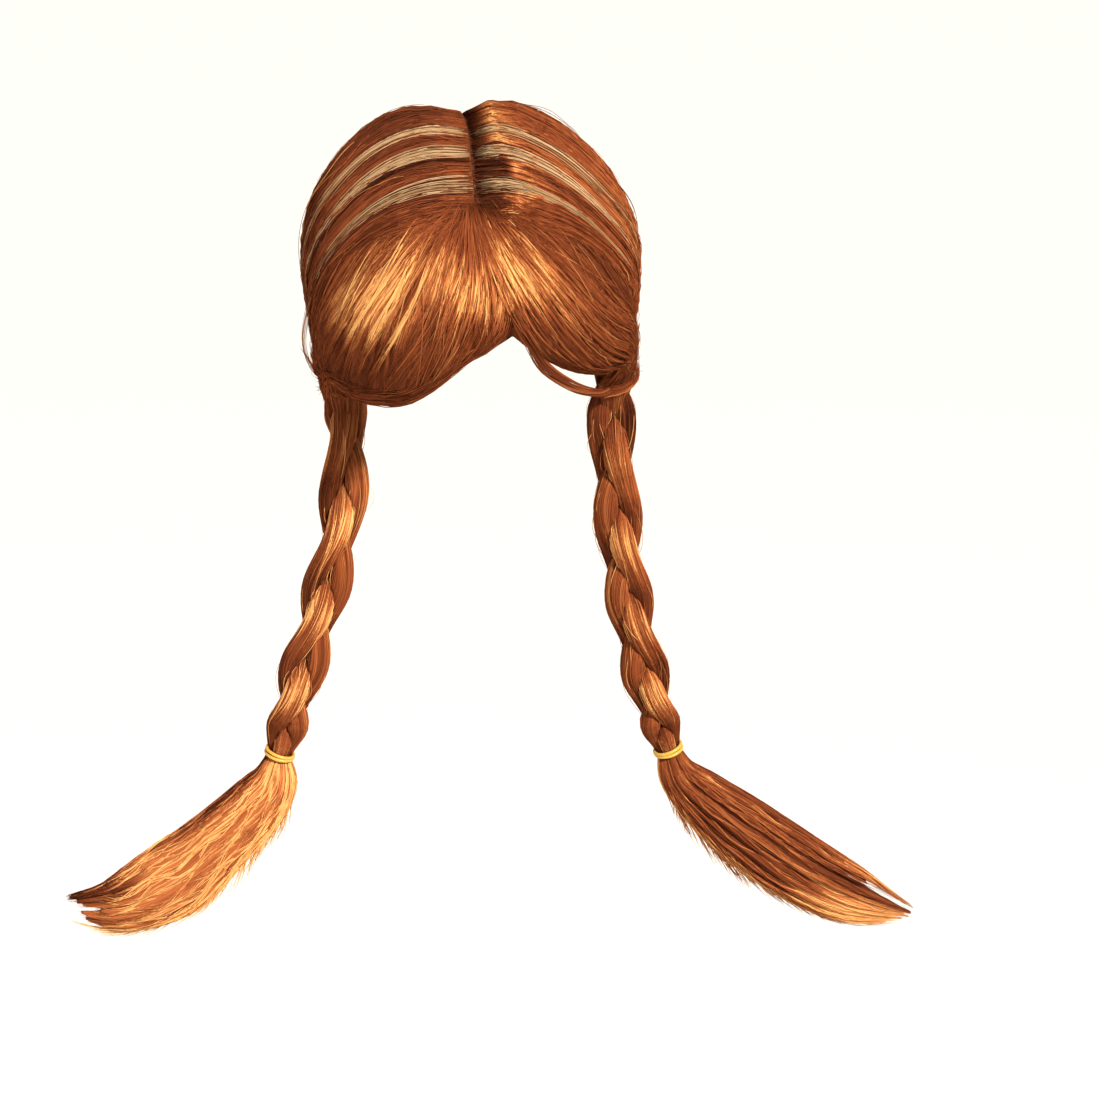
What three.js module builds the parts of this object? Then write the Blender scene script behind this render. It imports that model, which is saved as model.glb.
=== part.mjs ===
// A costume wig with two plaits: a stretch cap that carries two combed halves of hair, a swept fringe,
// slim pale highlights, two three-strand plaits, their elastic ties and the loose ends below them.
// Millimetres, +Z up. The origin is inside the crown of the cap, where the wearer's head meets it.
// The wearer faces -Y, so the wearer's left is +X.
import * as THREE from "three";

// Head form that the cap is cut to, measured inside the cap
const HEAD = { halfBreadth: 78, halfDepth: 97, crownRise: 80, lowerReach: 150, squareness: 2.35 };
const HEAD_CENTRE = new THREE.Vector3(0, 0, -HEAD.crownRise);

const CAP_WALL = 1.6;
const GAP = 0.7;
const HAIR_BASE = CAP_WALL + GAP;

// Lower edge of the cap, from the middle of the forehead round to the nape
const CAP_RIM = [
  { azimuth: 0, height: -52 },
  { azimuth: 35, height: -66 },
  { azimuth: 62, height: -92 },
  { azimuth: 95, height: -98 },
  { azimuth: 130, height: -124 },
  { azimuth: 180, height: -148 },
];

// Parting, as angles at the head's centre in the middle plane: 0 is forward, 90 is straight up
const PARTING = { frontAngle: 34, napeAngle: 218, halfGap: 0.024, frontDrift: -0.03 };
const SEAM = { halfWidth: 0.015, height: 1.4 };

// Side hair: how far its outer face stands off the head, by the share of the way from parting to plait.
// The wearer's left half rolls up steeply beside the parting.
const SIDE_LIFT = [
  { along: 0, right: 5, left: 3.4 },
  { along: 0.05, right: 7.5, left: 9 },
  { along: 0.11, right: 10.6, left: 11.8 },
  { along: 0.22, right: 12.6, left: 11.8 },
  { along: 0.45, right: 12, left: 11 },
  { along: 0.7, right: 14, left: 15 },
  { along: 1, right: 11, left: 11 },
];
const SIDE_SWEEP = 1.1;
const SIDE_LOCKS = { count: 9, height: 1.5, riseTo: 0.12, fadeFrom: 0.75 };

// Where the side hair is gathered into a plait
const GATHER = {
  right: new THREE.Vector3(-70, 6, -146),
  left: new THREE.Vector3(79, 6, -146),
  halfTurn: 125,
  skin: { radius: 14, from: 0.74 },
  core: { radius: 4, from: 0.86 },
};

// Fringe: rows run from the middle of the forehead past the temple to the plait. Root is a share of the front
// edge of the side hair. The middle and the tip of each lock are a turn round the head, a height and a lift.
const FRINGE = {
  right: [
    { share: 0, root: 0.004, midTurn: 3, midZ: -46, midLift: 14, tipTurn: 7.2, tipZ: -73, tipLift: 14 },
    { share: 0.18, root: 0.1, midTurn: -7, midZ: -54, midLift: 19, tipTurn: -5, tipZ: -90, tipLift: 14 },
    { share: 0.38, root: 0.24, midTurn: -19, midZ: -66, midLift: 22, tipTurn: -22, tipZ: -116, tipLift: 14 },
    { share: 0.59, root: 0.42, midTurn: -37, midZ: -76, midLift: 21, tipTurn: -42, tipZ: -124, tipLift: 14 },
    { share: 0.8, root: 0.6, midTurn: -57, midZ: -89, midLift: 18, tipTurn: -64, tipZ: -122, tipLift: 14 },
    { share: 1, root: 0.8, midTurn: -74, midZ: -118, midLift: 14, tipTurn: -79, tipZ: -139, tipLift: 8 },
  ],
  left: [
    { share: 0, root: 0.004, midTurn: 4.2, midZ: -46, midLift: 13, tipTurn: 8.4, tipZ: -73, tipLift: 14 },
    { share: 0.18, root: 0.1, midTurn: 11.5, midZ: -54, midLift: 16, tipTurn: 14, tipZ: -86, tipLift: 14 },
    { share: 0.38, root: 0.24, midTurn: 23, midZ: -66, midLift: 18, tipTurn: 25, tipZ: -101, tipLift: 14 },
    { share: 0.59, root: 0.42, midTurn: 38, midZ: -80, midLift: 18, tipTurn: 42, tipZ: -113, tipLift: 14 },
    { share: 0.8, root: 0.6, midTurn: 58, midZ: -92, midLift: 17.5, tipTurn: 63, tipZ: -121, tipLift: 14 },
    { share: 1, root: 0.8, midTurn: 74, midZ: -118, midLift: 15, tipTurn: 80, tipZ: -139, tipLift: 12 },
  ],
};
const FRINGE_FORM = { rootSink: 1, midWall: 9, tipWall: 5, edgeAngle: -0.007, tipNotch: 0.035 };
const FRINGE_LOCKS = { count: 6, height: 1.4 };

// Slim pale highlights, each lying along one line of the side hair
const HIGHLIGHTS = { halfWidth: 0.013, from: 0.05, to: 0.68, gap: 0.7, height: 1.6 };
const HIGHLIGHT_PLACES = [0.085, 0.175, 0.265];

// Plaits: each centreline hangs from the gathered hair to the tie
const PLAIT_LINE = {
  right: [
    { x: -70, y: 5.5, z: -147.3 },
    { x: -70, y: 4, z: -160 },
    { x: -71, y: -6, z: -188 },
    { x: -77, y: -17, z: -228 },
    { x: -89, y: -26, z: -270 },
    { x: -102.5, y: -32, z: -312 },
    { x: -115, y: -36, z: -354 },
  ],
  left: [
    { x: 79, y: 5.5, z: -147.7 },
    { x: 79, y: 4, z: -160 },
    { x: 80, y: -6, z: -190 },
    { x: 82.5, y: -17, z: -234 },
    { x: 88.5, y: -26, z: -278 },
    { x: 98, y: -32, z: -322 },
    { x: 110, y: -36, z: -364 },
  ],
};
// swing and depth carry a strand across and through the plait, and width and height are its free half sizes
const PLAIT = { swing: 6.1, depth: 5, width: 7.8, height: 6.2, gap: 1.3, turnIn: 28 };
const PLAIT_PHASE = { right: 124, left: 69, end: 630 };
const PLAIT_TIGHTENING = 0.2;
const PLAIT_END = { from: 0.82, spread: 3.9, radius: 3.1 };

// Elastic ties: turns of round cord, whose middle lies a little above the end of the plait
const TIE = { innerRadius: 7.7, cordRadius: 1, turns: 2, pitch: 2.4, rise: 1.5 };

// Loose ends below the ties: centreline, half width across the sweep and half thickness front to back
const TAIL = {
  right: [
    { x: -115.2, y: -36, z: -354.6, halfWidth: 6.6, halfThick: 6.6 },
    { x: -118.8, y: -37.5, z: -370, halfWidth: 13, halfThick: 10 },
    { x: -129.5, y: -39, z: -384.5, halfWidth: 17.6, halfThick: 11.5 },
    { x: -152, y: -40.5, z: -406, halfWidth: 20.5, halfThick: 12 },
    { x: -180, y: -42, z: -429.5, halfWidth: 24.5, halfThick: 11 },
    { x: -213, y: -43.5, z: -443, halfWidth: 18, halfThick: 8 },
    { x: -242, y: -45, z: -441, halfWidth: 4, halfThick: 3.5 },
  ],
  left: [
    { x: 110.3, y: -36.1, z: -365.1, halfWidth: 6.4, halfThick: 6.4 },
    { x: 115.6, y: -37.4, z: -379, halfWidth: 11.5, halfThick: 10 },
    { x: 127.5, y: -39, z: -392, halfWidth: 15.9, halfThick: 11.5 },
    { x: 153, y: -40.5, z: -415.5, halfWidth: 20.5, halfThick: 12 },
    { x: 185, y: -42, z: -441.5, halfWidth: 21.5, halfThick: 11 },
    { x: 222, y: -43.5, z: -465, halfWidth: 18, halfThick: 8 },
    { x: 256, y: -45, z: -478, halfWidth: 4.5, halfThick: 3.5 },
  ],
};
const TAIL_FORM = { locks: 5, lockHeight: 1.1, edge: 0.7, notch: 0.1 };

// A thin lock that leaves the fringe and wraps the top of the wearer's left plait
const WRAP_LOCK = {
  radius: 2.2,
  turnRadius: 17.6,
  turnHeight: -149.5,
  turnFrom: -105,
  turnTo: 40,
  path: [
    { x: 31, y: -102, z: -95 },
    { x: 45, y: -97, z: -108 },
    { x: 60, y: -80, z: -120 },
    { x: 71, y: -50, z: -132 },
  ],
};

// Facets: columns and rows of each sheet, sides and steps of each bundle
const FACETS = {
  cap: { around: 32, down: 9 },
  seam: { along: 18 },
  side: { perLock: 3, along: 12, crowding: 1.15 },
  highlight: { along: 9 },
  fringe: { perLock: 3, along: 8 },
  strand: { sides: 6, steps: 56, crowding: 0.92 },
  cord: { sides: 5, stepsPerTurn: 13, pointsPerTurn: 10, wrapSteps: 16 },
  tail: { perLock: 3, along: 8 },
};

const COLOURS = { hair: 0x9d5431, fringe: 0xae653a, pale: 0xd9c8b0, elastic: 0xd9a441, net: 0x5a2f1c };

const SIDES = { right: -1, left: 1 };
const radians = THREE.MathUtils.degToRad;
const mix = THREE.MathUtils.lerp;
const ease = (from, to, value) => THREE.MathUtils.smoothstep(value, from, to);

// One column of a table, read smoothly at a value of another column that rises row by row.
function lookUp(table, by, at, column) {
  const last = table.length - 1;
  const above = table.findIndex((row) => row[by] > at);
  const i = above < 0 ? last - 1 : Math.max(above - 1, 0);
  const slope = (k) => {
    const before = table[Math.max(k - 1, 0)];
    const after = table[Math.min(k + 1, last)];
    return (after[column] - before[column]) / (after[by] - before[by]);
  };
  const span = table[i + 1][by] - table[i][by];
  const t = (at - table[i][by]) / span;
  const rise = table[i + 1][column] - table[i][column];
  const bend = (1 - t) * (slope(i) * span - rise) - t * (slope(i + 1) * span - rise);
  return table[i][column] + rise * t + t * (1 - t) * bend;
}

// The head form grown outward by a lift, met in a direction from the head's centre.
function headPoint(direction, lift) {
  const d = direction.clone().normalize();
  const rise = (d.z >= 0 ? HEAD.crownRise : HEAD.lowerReach) + lift;
  const level = Math.hypot(d.x / (HEAD.halfBreadth + lift), d.y / (HEAD.halfDepth + lift));
  const power = HEAD.squareness;
  const reach = (level ** power + Math.abs(d.z / rise) ** power) ** (-1 / power);
  return d.multiplyScalar(reach).add(HEAD_CENTRE);
}

// The same form met at an azimuth, with 0 forward and 90 to the wearer's left, and at a height.
function headAt(azimuth, height, lift) {
  const up = height - HEAD_CENTRE.z;
  const rise = (up >= 0 ? HEAD.crownRise : HEAD.lowerReach) + lift;
  const power = HEAD.squareness;
  const level = Math.max(1 - Math.abs(up / rise) ** power, 0) ** (1 / power);
  const [sin, cos] = [Math.sin(radians(azimuth)), Math.cos(radians(azimuth))];
  const reach = level / Math.hypot(sin / (HEAD.halfBreadth + lift), cos / (HEAD.halfDepth + lift));
  return new THREE.Vector3(reach * sin, -reach * cos, height);
}

// A closed wall between an outer and an inner sheet, each a function of two shares from 0 to 1.
// A ring joins its first and last columns, and a pole draws its first row into one point.
function wall(outer, inner, across, along, { ring = false, pole = false } = {}) {
  const positions = [];
  const triangles = [];
  const vertex = (point) => positions.push(point.x, point.y, point.z) / 3 - 1;
  const columns = ring ? across : across + 1;
  const sheet = (face) => {
    const top = pole ? vertex(face(0, 0)) : undefined;
    const corner = (i, j) => (pole && j === 0 ? top : vertex(face(i / across, j / along)));
    const column = (i) => Array.from({ length: along + 1 }, (_, j) => corner(i, j));
    const grid = Array.from({ length: columns }, (_, i) => column(i));
    return (i, j) => grid[i % columns][j];
  };
  const quad = (a, b, c, d) => {
    for (const [p, q, r] of [[a, b, c], [a, c, d]]) {
      if (p !== q && q !== r && r !== p) triangles.push(p, q, r);
    }
  };
  const [out, back] = [sheet(outer), sheet(inner)];
  for (let i = 0; i < across; i++) {
    for (let j = 0; j < along; j++) {
      quad(out(i, j), out(i + 1, j), out(i + 1, j + 1), out(i, j + 1));
      quad(back(i, j), back(i, j + 1), back(i + 1, j + 1), back(i + 1, j));
    }
    quad(out(i, along), out(i + 1, along), back(i + 1, along), back(i, along));
    if (!pole) quad(out(i + 1, 0), out(i, 0), back(i, 0), back(i + 1, 0));
  }
  for (let j = 0; j < along && !ring; j++) {
    quad(out(0, j), out(0, j + 1), back(0, j + 1), back(0, j));
    quad(out(across, j + 1), out(across, j), back(across, j), back(across, j + 1));
  }
  return closed(positions, triangles);
}

// A closed bundle through rings of equal length, with a flat face at each end.
function bundle(rings) {
  const sides = rings[0].length;
  const positions = rings.flat().flatMap((point) => point.toArray());
  const triangles = [];
  for (let row = 0; row + 1 < rings.length; row++) {
    for (let k = 0; k < sides; k++) {
      const [a, b] = [row * sides + k, row * sides + ((k + 1) % sides)];
      triangles.push(a, b, b + sides, a, b + sides, a + sides);
    }
  }
  const end = (rings.length - 1) * sides;
  for (let k = 1; k + 1 < sides; k++) triangles.push(0, k + 1, k, end, end + k, end + k + 1);
  return closed(positions, triangles);
}

// Turns the faces outward where they were listed the other way round.
function closed(positions, triangles) {
  const at = (i) => new THREE.Vector3().fromArray(positions, 3 * i);
  let volume = 0;
  for (let i = 0; i < triangles.length; i += 3) {
    volume += at(triangles[i]).dot(at(triangles[i + 1]).cross(at(triangles[i + 2])));
  }
  if (volume < 0) triangles.reverse();
  const geometry = new THREE.BufferGeometry();
  geometry.setAttribute("position", new THREE.Float32BufferAttribute(positions, 3));
  geometry.setIndex(triangles);
  return geometry;
}

// Height of rounded locks lying side by side, by the share of the way across them.
const lockHeight = (locks, share) => locks.height * Math.abs(Math.sin(Math.PI * locks.count * share));

function capGeometry() {
  const face = (lift) => (turn, down) => {
    const azimuth = 360 * turn;
    const rim = lookUp(CAP_RIM, "azimuth", Math.min(azimuth, 360 - azimuth), "height");
    const height = mix(lift, rim, 1 - Math.cos((down * Math.PI) / 2));
    return down === 0 ? new THREE.Vector3(0, 0, lift) : headAt(azimuth, height, lift);
  };
  return wall(face(CAP_WALL), face(0), FACETS.cap.around, FACETS.cap.down, { ring: true, pole: true });
}

function partingDirection(share, offset) {
  const angle = radians(mix(PARTING.frontAngle, PARTING.napeAngle, share));
  const drift = PARTING.frontDrift * Math.max(Math.cos(angle), 0);
  return new THREE.Vector3(drift + offset, -Math.cos(angle), Math.sin(angle));
}

function seamGeometry() {
  const face = (lift) => (across, along) =>
    headPoint(partingDirection(along, mix(-1, 1, across) * SEAM.halfWidth), lift);
  return wall(face(HAIR_BASE + SEAM.height), face(HAIR_BASE), 1, FACETS.seam.along);
}

// A point of the side hair: across runs from forehead to nape, along runs from the parting to the plait.
function sidePoint(side, across, along, lift, gather) {
  const sign = SIDES[side];
  const start = partingDirection(across, sign * PARTING.halfGap);
  const bend = start.clone().add(new THREE.Vector3(sign * SIDE_SWEEP, 0, 0));
  const end = GATHER[side].clone().sub(HEAD_CENTRE).normalize();
  const direction = new THREE.QuadraticBezierCurve3(start, bend, end).getPoint(along);
  const turn = radians(mix(-GATHER.halfTurn, GATHER.halfTurn, across));
  const ring = new THREE.Vector3(sign * Math.cos(turn), Math.sin(turn), 0).multiplyScalar(gather.radius);
  return headPoint(direction, lift).lerp(ring.add(GATHER[side]), ease(gather.from, 1, along));
}

function sideLift(side, across, along) {
  const shown = ease(0, SIDE_LOCKS.riseTo, along) * (1 - ease(SIDE_LOCKS.fadeFrom, 1, along));
  const relief = lockHeight(SIDE_LOCKS, across) - SIDE_LOCKS.height / 2;
  return lookUp(SIDE_LIFT, "along", along, side) + shown * relief;
}

function sideGeometry(side) {
  const spread = (along) => along ** FACETS.side.crowding;
  const outer = (across, along) =>
    sidePoint(side, across, spread(along), sideLift(side, across, spread(along)), GATHER.skin);
  const inner = (across, along) => sidePoint(side, across, spread(along), HAIR_BASE, GATHER.core);
  return wall(outer, inner, FACETS.side.perLock * SIDE_LOCKS.count, FACETS.side.along);
}

function highlightGeometry(side, place) {
  const face = (rise) => (across, along) => {
    const u = place + mix(-1, 1, across) * HIGHLIGHTS.halfWidth;
    const v = mix(HIGHLIGHTS.from, HIGHLIGHTS.to, along);
    return sidePoint(side, u, v, sideLift(side, u, v) + rise, GATHER.skin);
  };
  return wall(face(HIGHLIGHTS.gap + HIGHLIGHTS.height), face(HIGHLIGHTS.gap), 1, FACETS.highlight.along);
}

// A point of the fringe: across runs from the middle of the forehead to the temple, along runs root to tip.
function fringePoint(side, across, along, lifts) {
  const cell = (column) => lookUp(FRINGE[side], "share", across, column);
  const root = sidePoint(side, FRINGE_FORM.edgeAngle, cell("root"), lifts.root, GATHER.skin);
  const middle = headAt(cell("midTurn"), cell("midZ"), lifts.middle(cell("midLift")));
  const tip = headAt(cell("tipTurn"), cell("tipZ"), lifts.tip(cell("tipLift")));
  return root
    .multiplyScalar((1 - along) * (1 - 2 * along))
    .addScaledVector(middle, 4 * along * (1 - along))
    .addScaledVector(tip, along * (2 * along - 1));
}

function fringeGeometry(side) {
  const { rootSink, midWall, tipWall, tipNotch } = FRINGE_FORM;
  const reach = (across, along) =>
    along * (1 - tipNotch * (1 - lockHeight(FRINGE_LOCKS, across) / FRINGE_LOCKS.height));
  const outer = (across, along) => {
    const rise = lockHeight(FRINGE_LOCKS, across) * ease(0.1, 0.5, along);
    const rootPlace = lookUp(FRINGE[side], "share", across, "root");
    const rootLift = lookUp(SIDE_LIFT, "along", rootPlace, side) - rootSink;
    const raised = (lift) => lift + rise;
    const lifts = { root: rootLift, middle: raised, tip: raised };
    return fringePoint(side, across, reach(across, along), lifts);
  };
  const inner = (across, along) => {
    const lifts = { root: HAIR_BASE, middle: (lift) => lift - midWall, tip: (lift) => lift - tipWall };
    return fringePoint(side, across, reach(across, along), lifts);
  };
  return wall(outer, inner, FACETS.fringe.perLock * FRINGE_LOCKS.count, FACETS.fringe.along);
}

const curveOf = (rows) => new THREE.CatmullRomCurve3(rows.map(({ x, y, z }) => new THREE.Vector3(x, y, z)));

// Axes at a share of a plait's centreline: across it, to its front, and along it.
function plaitFrame(side, line, share) {
  const along = line.getTangentAt(share);
  const turn = radians(PLAIT.turnIn);
  const front = new THREE.Vector3(-SIDES[side] * Math.sin(turn), -Math.cos(turn), 0);
  front.addScaledVector(along, -front.dot(along)).normalize();
  const across = new THREE.Vector3().crossVectors(along, front).multiplyScalar(-SIDES[side]);
  return { centre: line.getPointAt(share), across, front };
}

// Where a strand's middle lies in the plait's own axes, drawn into a triangle at the tie.
function strandMiddle(side, strand, share) {
  const woven = (at) => {
    const turned = (1 - PLAIT_TIGHTENING) * at + PLAIT_TIGHTENING * at * at;
    const phase = radians(120 * strand + mix(PLAIT_PHASE[side], PLAIT_PHASE.end, turned));
    return new THREE.Vector2(PLAIT.swing * Math.sin(phase), PLAIT.depth * Math.sin(2 * phase));
  };
  return woven(share).lerp(woven(1).setLength(PLAIT_END.spread), ease(PLAIT_END.from, 1, share));
}

// One strand: round where it is free, and pressed flat where it meets the other two.
function strandGeometry(side, strand) {
  const line = curveOf(PLAIT_LINE[side]);
  const { sides, steps, crowding } = FACETS.strand;
  const rings = Array.from({ length: steps + 1 }, (_, step) => {
    const share = (step / steps) ** crowding;
    const { centre, across, front } = plaitFrame(side, line, share);
    const middle = strandMiddle(side, strand, share);
    const others = [1, 2].map((k) => strandMiddle(side, (strand + k) % 3, share).sub(middle));
    const tied = ease(PLAIT_END.from, 1, share);
    const width = mix(PLAIT.width, PLAIT_END.radius, tied);
    const height = mix(PLAIT.height, PLAIT_END.radius, tied);
    return Array.from({ length: sides }, (_, k) => {
      const angle = (2 * Math.PI * k) / sides;
      const way = new THREE.Vector2(Math.cos(angle), Math.sin(angle));
      const free = 1 / Math.hypot(way.x / width, way.y / height);
      const pressed = others.map((other) => {
        const facing = way.dot(other) / other.length();
        return facing > 0 ? (other.length() - PLAIT.gap) / 2 / facing : Infinity;
      });
      const point = way.multiplyScalar(Math.min(free, ...pressed)).add(middle);
      return centre.clone().addScaledVector(across, point.x).addScaledVector(front, point.y);
    });
  });
  return bundle(rings);
}

// A cord of one thickness along a line.
function cordGeometry(rows, radius, steps) {
  const { sides } = FACETS.cord;
  const rim = Array.from({ length: sides }, (_, k) => {
    const angle = (2 * Math.PI * k) / sides;
    return new THREE.Vector2(radius * Math.cos(angle), radius * Math.sin(angle));
  });
  return new THREE.ExtrudeGeometry(new THREE.Shape(rim), { steps, extrudePath: curveOf(rows) });
}

function tieGeometry(side) {
  const { centre, across, front } = plaitFrame(side, curveOf(PLAIT_LINE[side]), 1);
  const along = new THREE.Vector3().crossVectors(across, front);
  if (along.z > 0) along.negate();
  const radius = TIE.innerRadius + TIE.cordRadius;
  const { pointsPerTurn, stepsPerTurn } = FACETS.cord;
  const coil = Array.from({ length: TIE.turns * pointsPerTurn + 1 }, (_, i) => {
    const turned = i / pointsPerTurn;
    const angle = 2 * Math.PI * turned;
    const drop = TIE.pitch * (turned - TIE.turns / 2) - TIE.rise;
    return centre
      .clone()
      .addScaledVector(across, radius * Math.cos(angle))
      .addScaledVector(front, radius * Math.sin(angle))
      .addScaledVector(along, drop);
  });
  return cordGeometry(coil, TIE.cordRadius, TIE.turns * stepsPerTurn);
}

function tailGeometry(side) {
  const rows = TAIL[side].map((row, i) => ({ ...row, along: i / (TAIL[side].length - 1) }));
  const line = curveOf(rows);
  const depth = new THREE.Vector3(0, 1, 0);
  const face = (sign) => (share, along) => {
    const lock = Math.abs(Math.sin(Math.PI * TAIL_FORM.locks * share));
    const reach = along * (1 - TAIL_FORM.notch * (1 - lock));
    const tangent = line.getTangent(reach);
    const across = new THREE.Vector3().crossVectors(tangent, depth).normalize();
    const front = new THREE.Vector3().crossVectors(across, tangent);
    const angle = mix(-90, 90, share);
    const halfWidth = lookUp(rows, "along", reach, "halfWidth");
    const ridge = TAIL_FORM.lockHeight * lock * ease(0.1, 0.4, along);
    const halfThick = lookUp(rows, "along", reach, "halfThick") + ridge - TAIL_FORM.edge;
    const thick = TAIL_FORM.edge + halfThick * Math.cos(radians(angle));
    return line
      .getPoint(reach)
      .addScaledVector(across, halfWidth * Math.sin(radians(angle)))
      .addScaledVector(front, sign * thick);
  };
  return wall(face(1), face(-1), FACETS.tail.perLock * TAIL_FORM.locks, FACETS.tail.along);
}

function wrapLockGeometry() {
  const turns = [0, 0.25, 0.5, 0.75, 1].map((share) => {
    const angle = radians(mix(WRAP_LOCK.turnFrom, WRAP_LOCK.turnTo, share));
    const { x, y } = GATHER.left;
    const [dx, dy] = [WRAP_LOCK.turnRadius * Math.cos(angle), WRAP_LOCK.turnRadius * Math.sin(angle)];
    return { x: x + dx, y: y + dy, z: WRAP_LOCK.turnHeight };
  });
  return cordGeometry([...WRAP_LOCK.path, ...turns], WRAP_LOCK.radius, FACETS.cord.wrapSteps);
}

const wig = new THREE.Group();

function addPiece(name, geometry, colour, roughness) {
  const material = new THREE.MeshStandardMaterial({ color: colour, roughness, metalness: 0 });
  const mesh = new THREE.Mesh(geometry, material);
  mesh.name = name;
  wig.add(mesh);
}

addPiece("cap", capGeometry(), COLOURS.net, 0.9);
addPiece("parting_seam", seamGeometry(), COLOURS.net, 0.9);
for (const side of Object.keys(SIDES)) {
  addPiece(`side_hair_${side}`, sideGeometry(side), COLOURS.hair, 0.45);
  addPiece(`fringe_${side}`, fringeGeometry(side), COLOURS.fringe, 0.45);
  HIGHLIGHT_PLACES.forEach((place, i) => {
    addPiece(`highlight_${side}_${i + 1}`, highlightGeometry(side, place), COLOURS.pale, 0.45);
  });
  for (const strand of [0, 1, 2]) {
    addPiece(`plait_${side}_strand_${strand + 1}`, strandGeometry(side, strand), COLOURS.hair, 0.45);
  }
  addPiece(`tie_${side}`, tieGeometry(side), COLOURS.elastic, 0.6);
  addPiece(`tail_${side}`, tailGeometry(side), COLOURS.hair, 0.45);
}
addPiece("wrap_lock_left", wrapLockGeometry(), COLOURS.hair, 0.45);

export default wig;
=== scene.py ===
"""Looks of a costume wig with two plaits.

Each body of hair is a grooved closed form covered with laid fibres, made as one joined mesh. The forms repeat
the part's driving dimensions in millimetres and turn into metres when a mesh is made. Right and left are the
wearer's, who faces -Y.
"""
from types import SimpleNamespace as Form

import bpy
import numpy as np
from mathutils import Matrix, Vector

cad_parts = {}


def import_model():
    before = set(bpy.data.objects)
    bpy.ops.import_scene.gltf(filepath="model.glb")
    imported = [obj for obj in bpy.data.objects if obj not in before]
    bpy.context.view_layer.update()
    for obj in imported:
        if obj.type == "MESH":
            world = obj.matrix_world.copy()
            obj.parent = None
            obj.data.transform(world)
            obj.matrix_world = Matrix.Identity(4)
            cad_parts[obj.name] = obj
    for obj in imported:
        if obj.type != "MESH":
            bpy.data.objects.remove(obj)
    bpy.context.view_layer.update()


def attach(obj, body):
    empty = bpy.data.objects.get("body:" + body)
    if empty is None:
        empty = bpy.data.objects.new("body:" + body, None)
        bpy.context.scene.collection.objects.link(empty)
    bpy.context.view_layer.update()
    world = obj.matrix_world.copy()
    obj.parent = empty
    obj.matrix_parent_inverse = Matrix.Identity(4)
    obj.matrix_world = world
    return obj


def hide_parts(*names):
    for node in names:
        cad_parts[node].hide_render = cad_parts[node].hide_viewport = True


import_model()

MM = 0.001
SIGN = {"right": -1.0, "left": 1.0}
BACKWARD = np.array([0.0, 1.0, 0.0])

# Head form, cap and parting
HEAD = Form(half_breadth=78.0, half_depth=97.0, crown_rise=80.0, lower_reach=150.0, squareness=2.35)
HEAD_CENTRE = np.array([0.0, 0.0, -80.0])
CAP_WALL = 1.6
HAIR_BASE = 2.3
# Where the rows of the cap start at the crown, as a share of a quarter turn
CAP_CROWN = 0.0006
CAP_RIM = Form(azimuth=[0, 35, 62, 95, 130, 180], height=[-52, -66, -92, -98, -124, -148])
PARTING = Form(front_angle=34.0, nape_angle=218.0, front_drift=-0.03)
SEAM = Form(half_width=0.015, edge=0.2, height=0.56)

# Side hair
SIDE_LIFT = {
    "along": [0, 0.05, 0.11, 0.22, 0.45, 0.7, 1],
    "right": [5, 7.5, 10.6, 12.6, 12, 14, 11],
    "left": [3.4, 9, 11.8, 11.8, 11, 15, 11],
}
SIDE_SWEEP = 1.1
SIDE_FLOW = {"right": 0.2, "left": 0.55}
ROOT_GAP = 0.005
TUFTS = {"count": 76, "unrest": 0.9, "right": 0.25, "left": 0.9, "behind": 0.35}
SIDE_LOCKS = Form(count=9, height=1.5, rise_to=0.12, fade_from=0.75)
GATHER = {"right": np.array([-70.0, 6.0, -146.0]), "left": np.array([79.0, 6.0, -146.0])}
GATHER_RING = Form(half_turn=125.0, radius=14.0, core=2.5, start=0.74)
GATHER_RUN = Form(length=100.0, way=np.array([0.0, -0.13, -0.99]), narrowing=2.2)
# Fine relief of the hair: the seed, the swells across, the swells along and the height of each layer
SIDE_RELIEF = [(31, 40, 1.5, 0.45), (32, 95, 1.0, 0.3)]
FRINGE_RELIEF = [(41, 22, 1.2, 0.6), (42, 60, 1.0, 0.35)]
# The base under the fibres of the side hair, which runs on into the plait, and those fibres. A change of tone
# for a kind of fibre is listed as how far it lies from its body's tone and how much it spreads
SIDE_BASE = Form(crowding=1.1, into_plait=1.16, narrowing=0.65, depth=0.9, off_cap=0.3)
SIDE_HAIRS = Form(
    start=0.01, into_plait=(0.02, 0.3), crowding=1.15, pull=(0.2, 0.5), wander=0.006,
    depth=0.9, depth_power=1.5, lock_rise=0.3, ring_depth=0.3, ragged=(0.009, 0.005),
)
NAPE = Form(start=0.02, reach=1.1, wander=0.002, core=0.3, radius=(0.3, 0.45), tones=(-0.12, 0.08))

# Fringe, from the middle of the forehead past the temple to the plait
FRINGE_SHARE = [0, 0.18, 0.38, 0.59, 0.8, 1]
FRINGE_ROOT = [0.004, 0.1, 0.24, 0.42, 0.6, 0.8]
FRINGE = {
    "right": {
        "mid_azimuth": [3.5, -7, -19, -37, -57, -74],
        "mid_height": [-46, -54, -66, -76, -89, -118],
        "mid_lift": [14, 19, 22, 21, 18, 14],
        "tip_azimuth": [7.8, -5, -22, -42, -64, -79],
        "tip_height": [-77, -91, -116, -124, -122, -139],
        "tip_lift": [14, 14, 14, 14, 14, 8],
    },
    "left": {
        "mid_azimuth": [3.6, 11.5, 23, 38, 58, 74],
        "mid_height": [-46, -54, -66, -80, -92, -118],
        "mid_lift": [13, 16, 18, 18, 17.5, 15],
        "tip_azimuth": [7.9, 14, 25, 42, 63, 80],
        "tip_height": [-77, -87, -101, -113, -121, -139],
        "tip_lift": [14, 14, 14, 14, 14, 12],
    },
}
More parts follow.
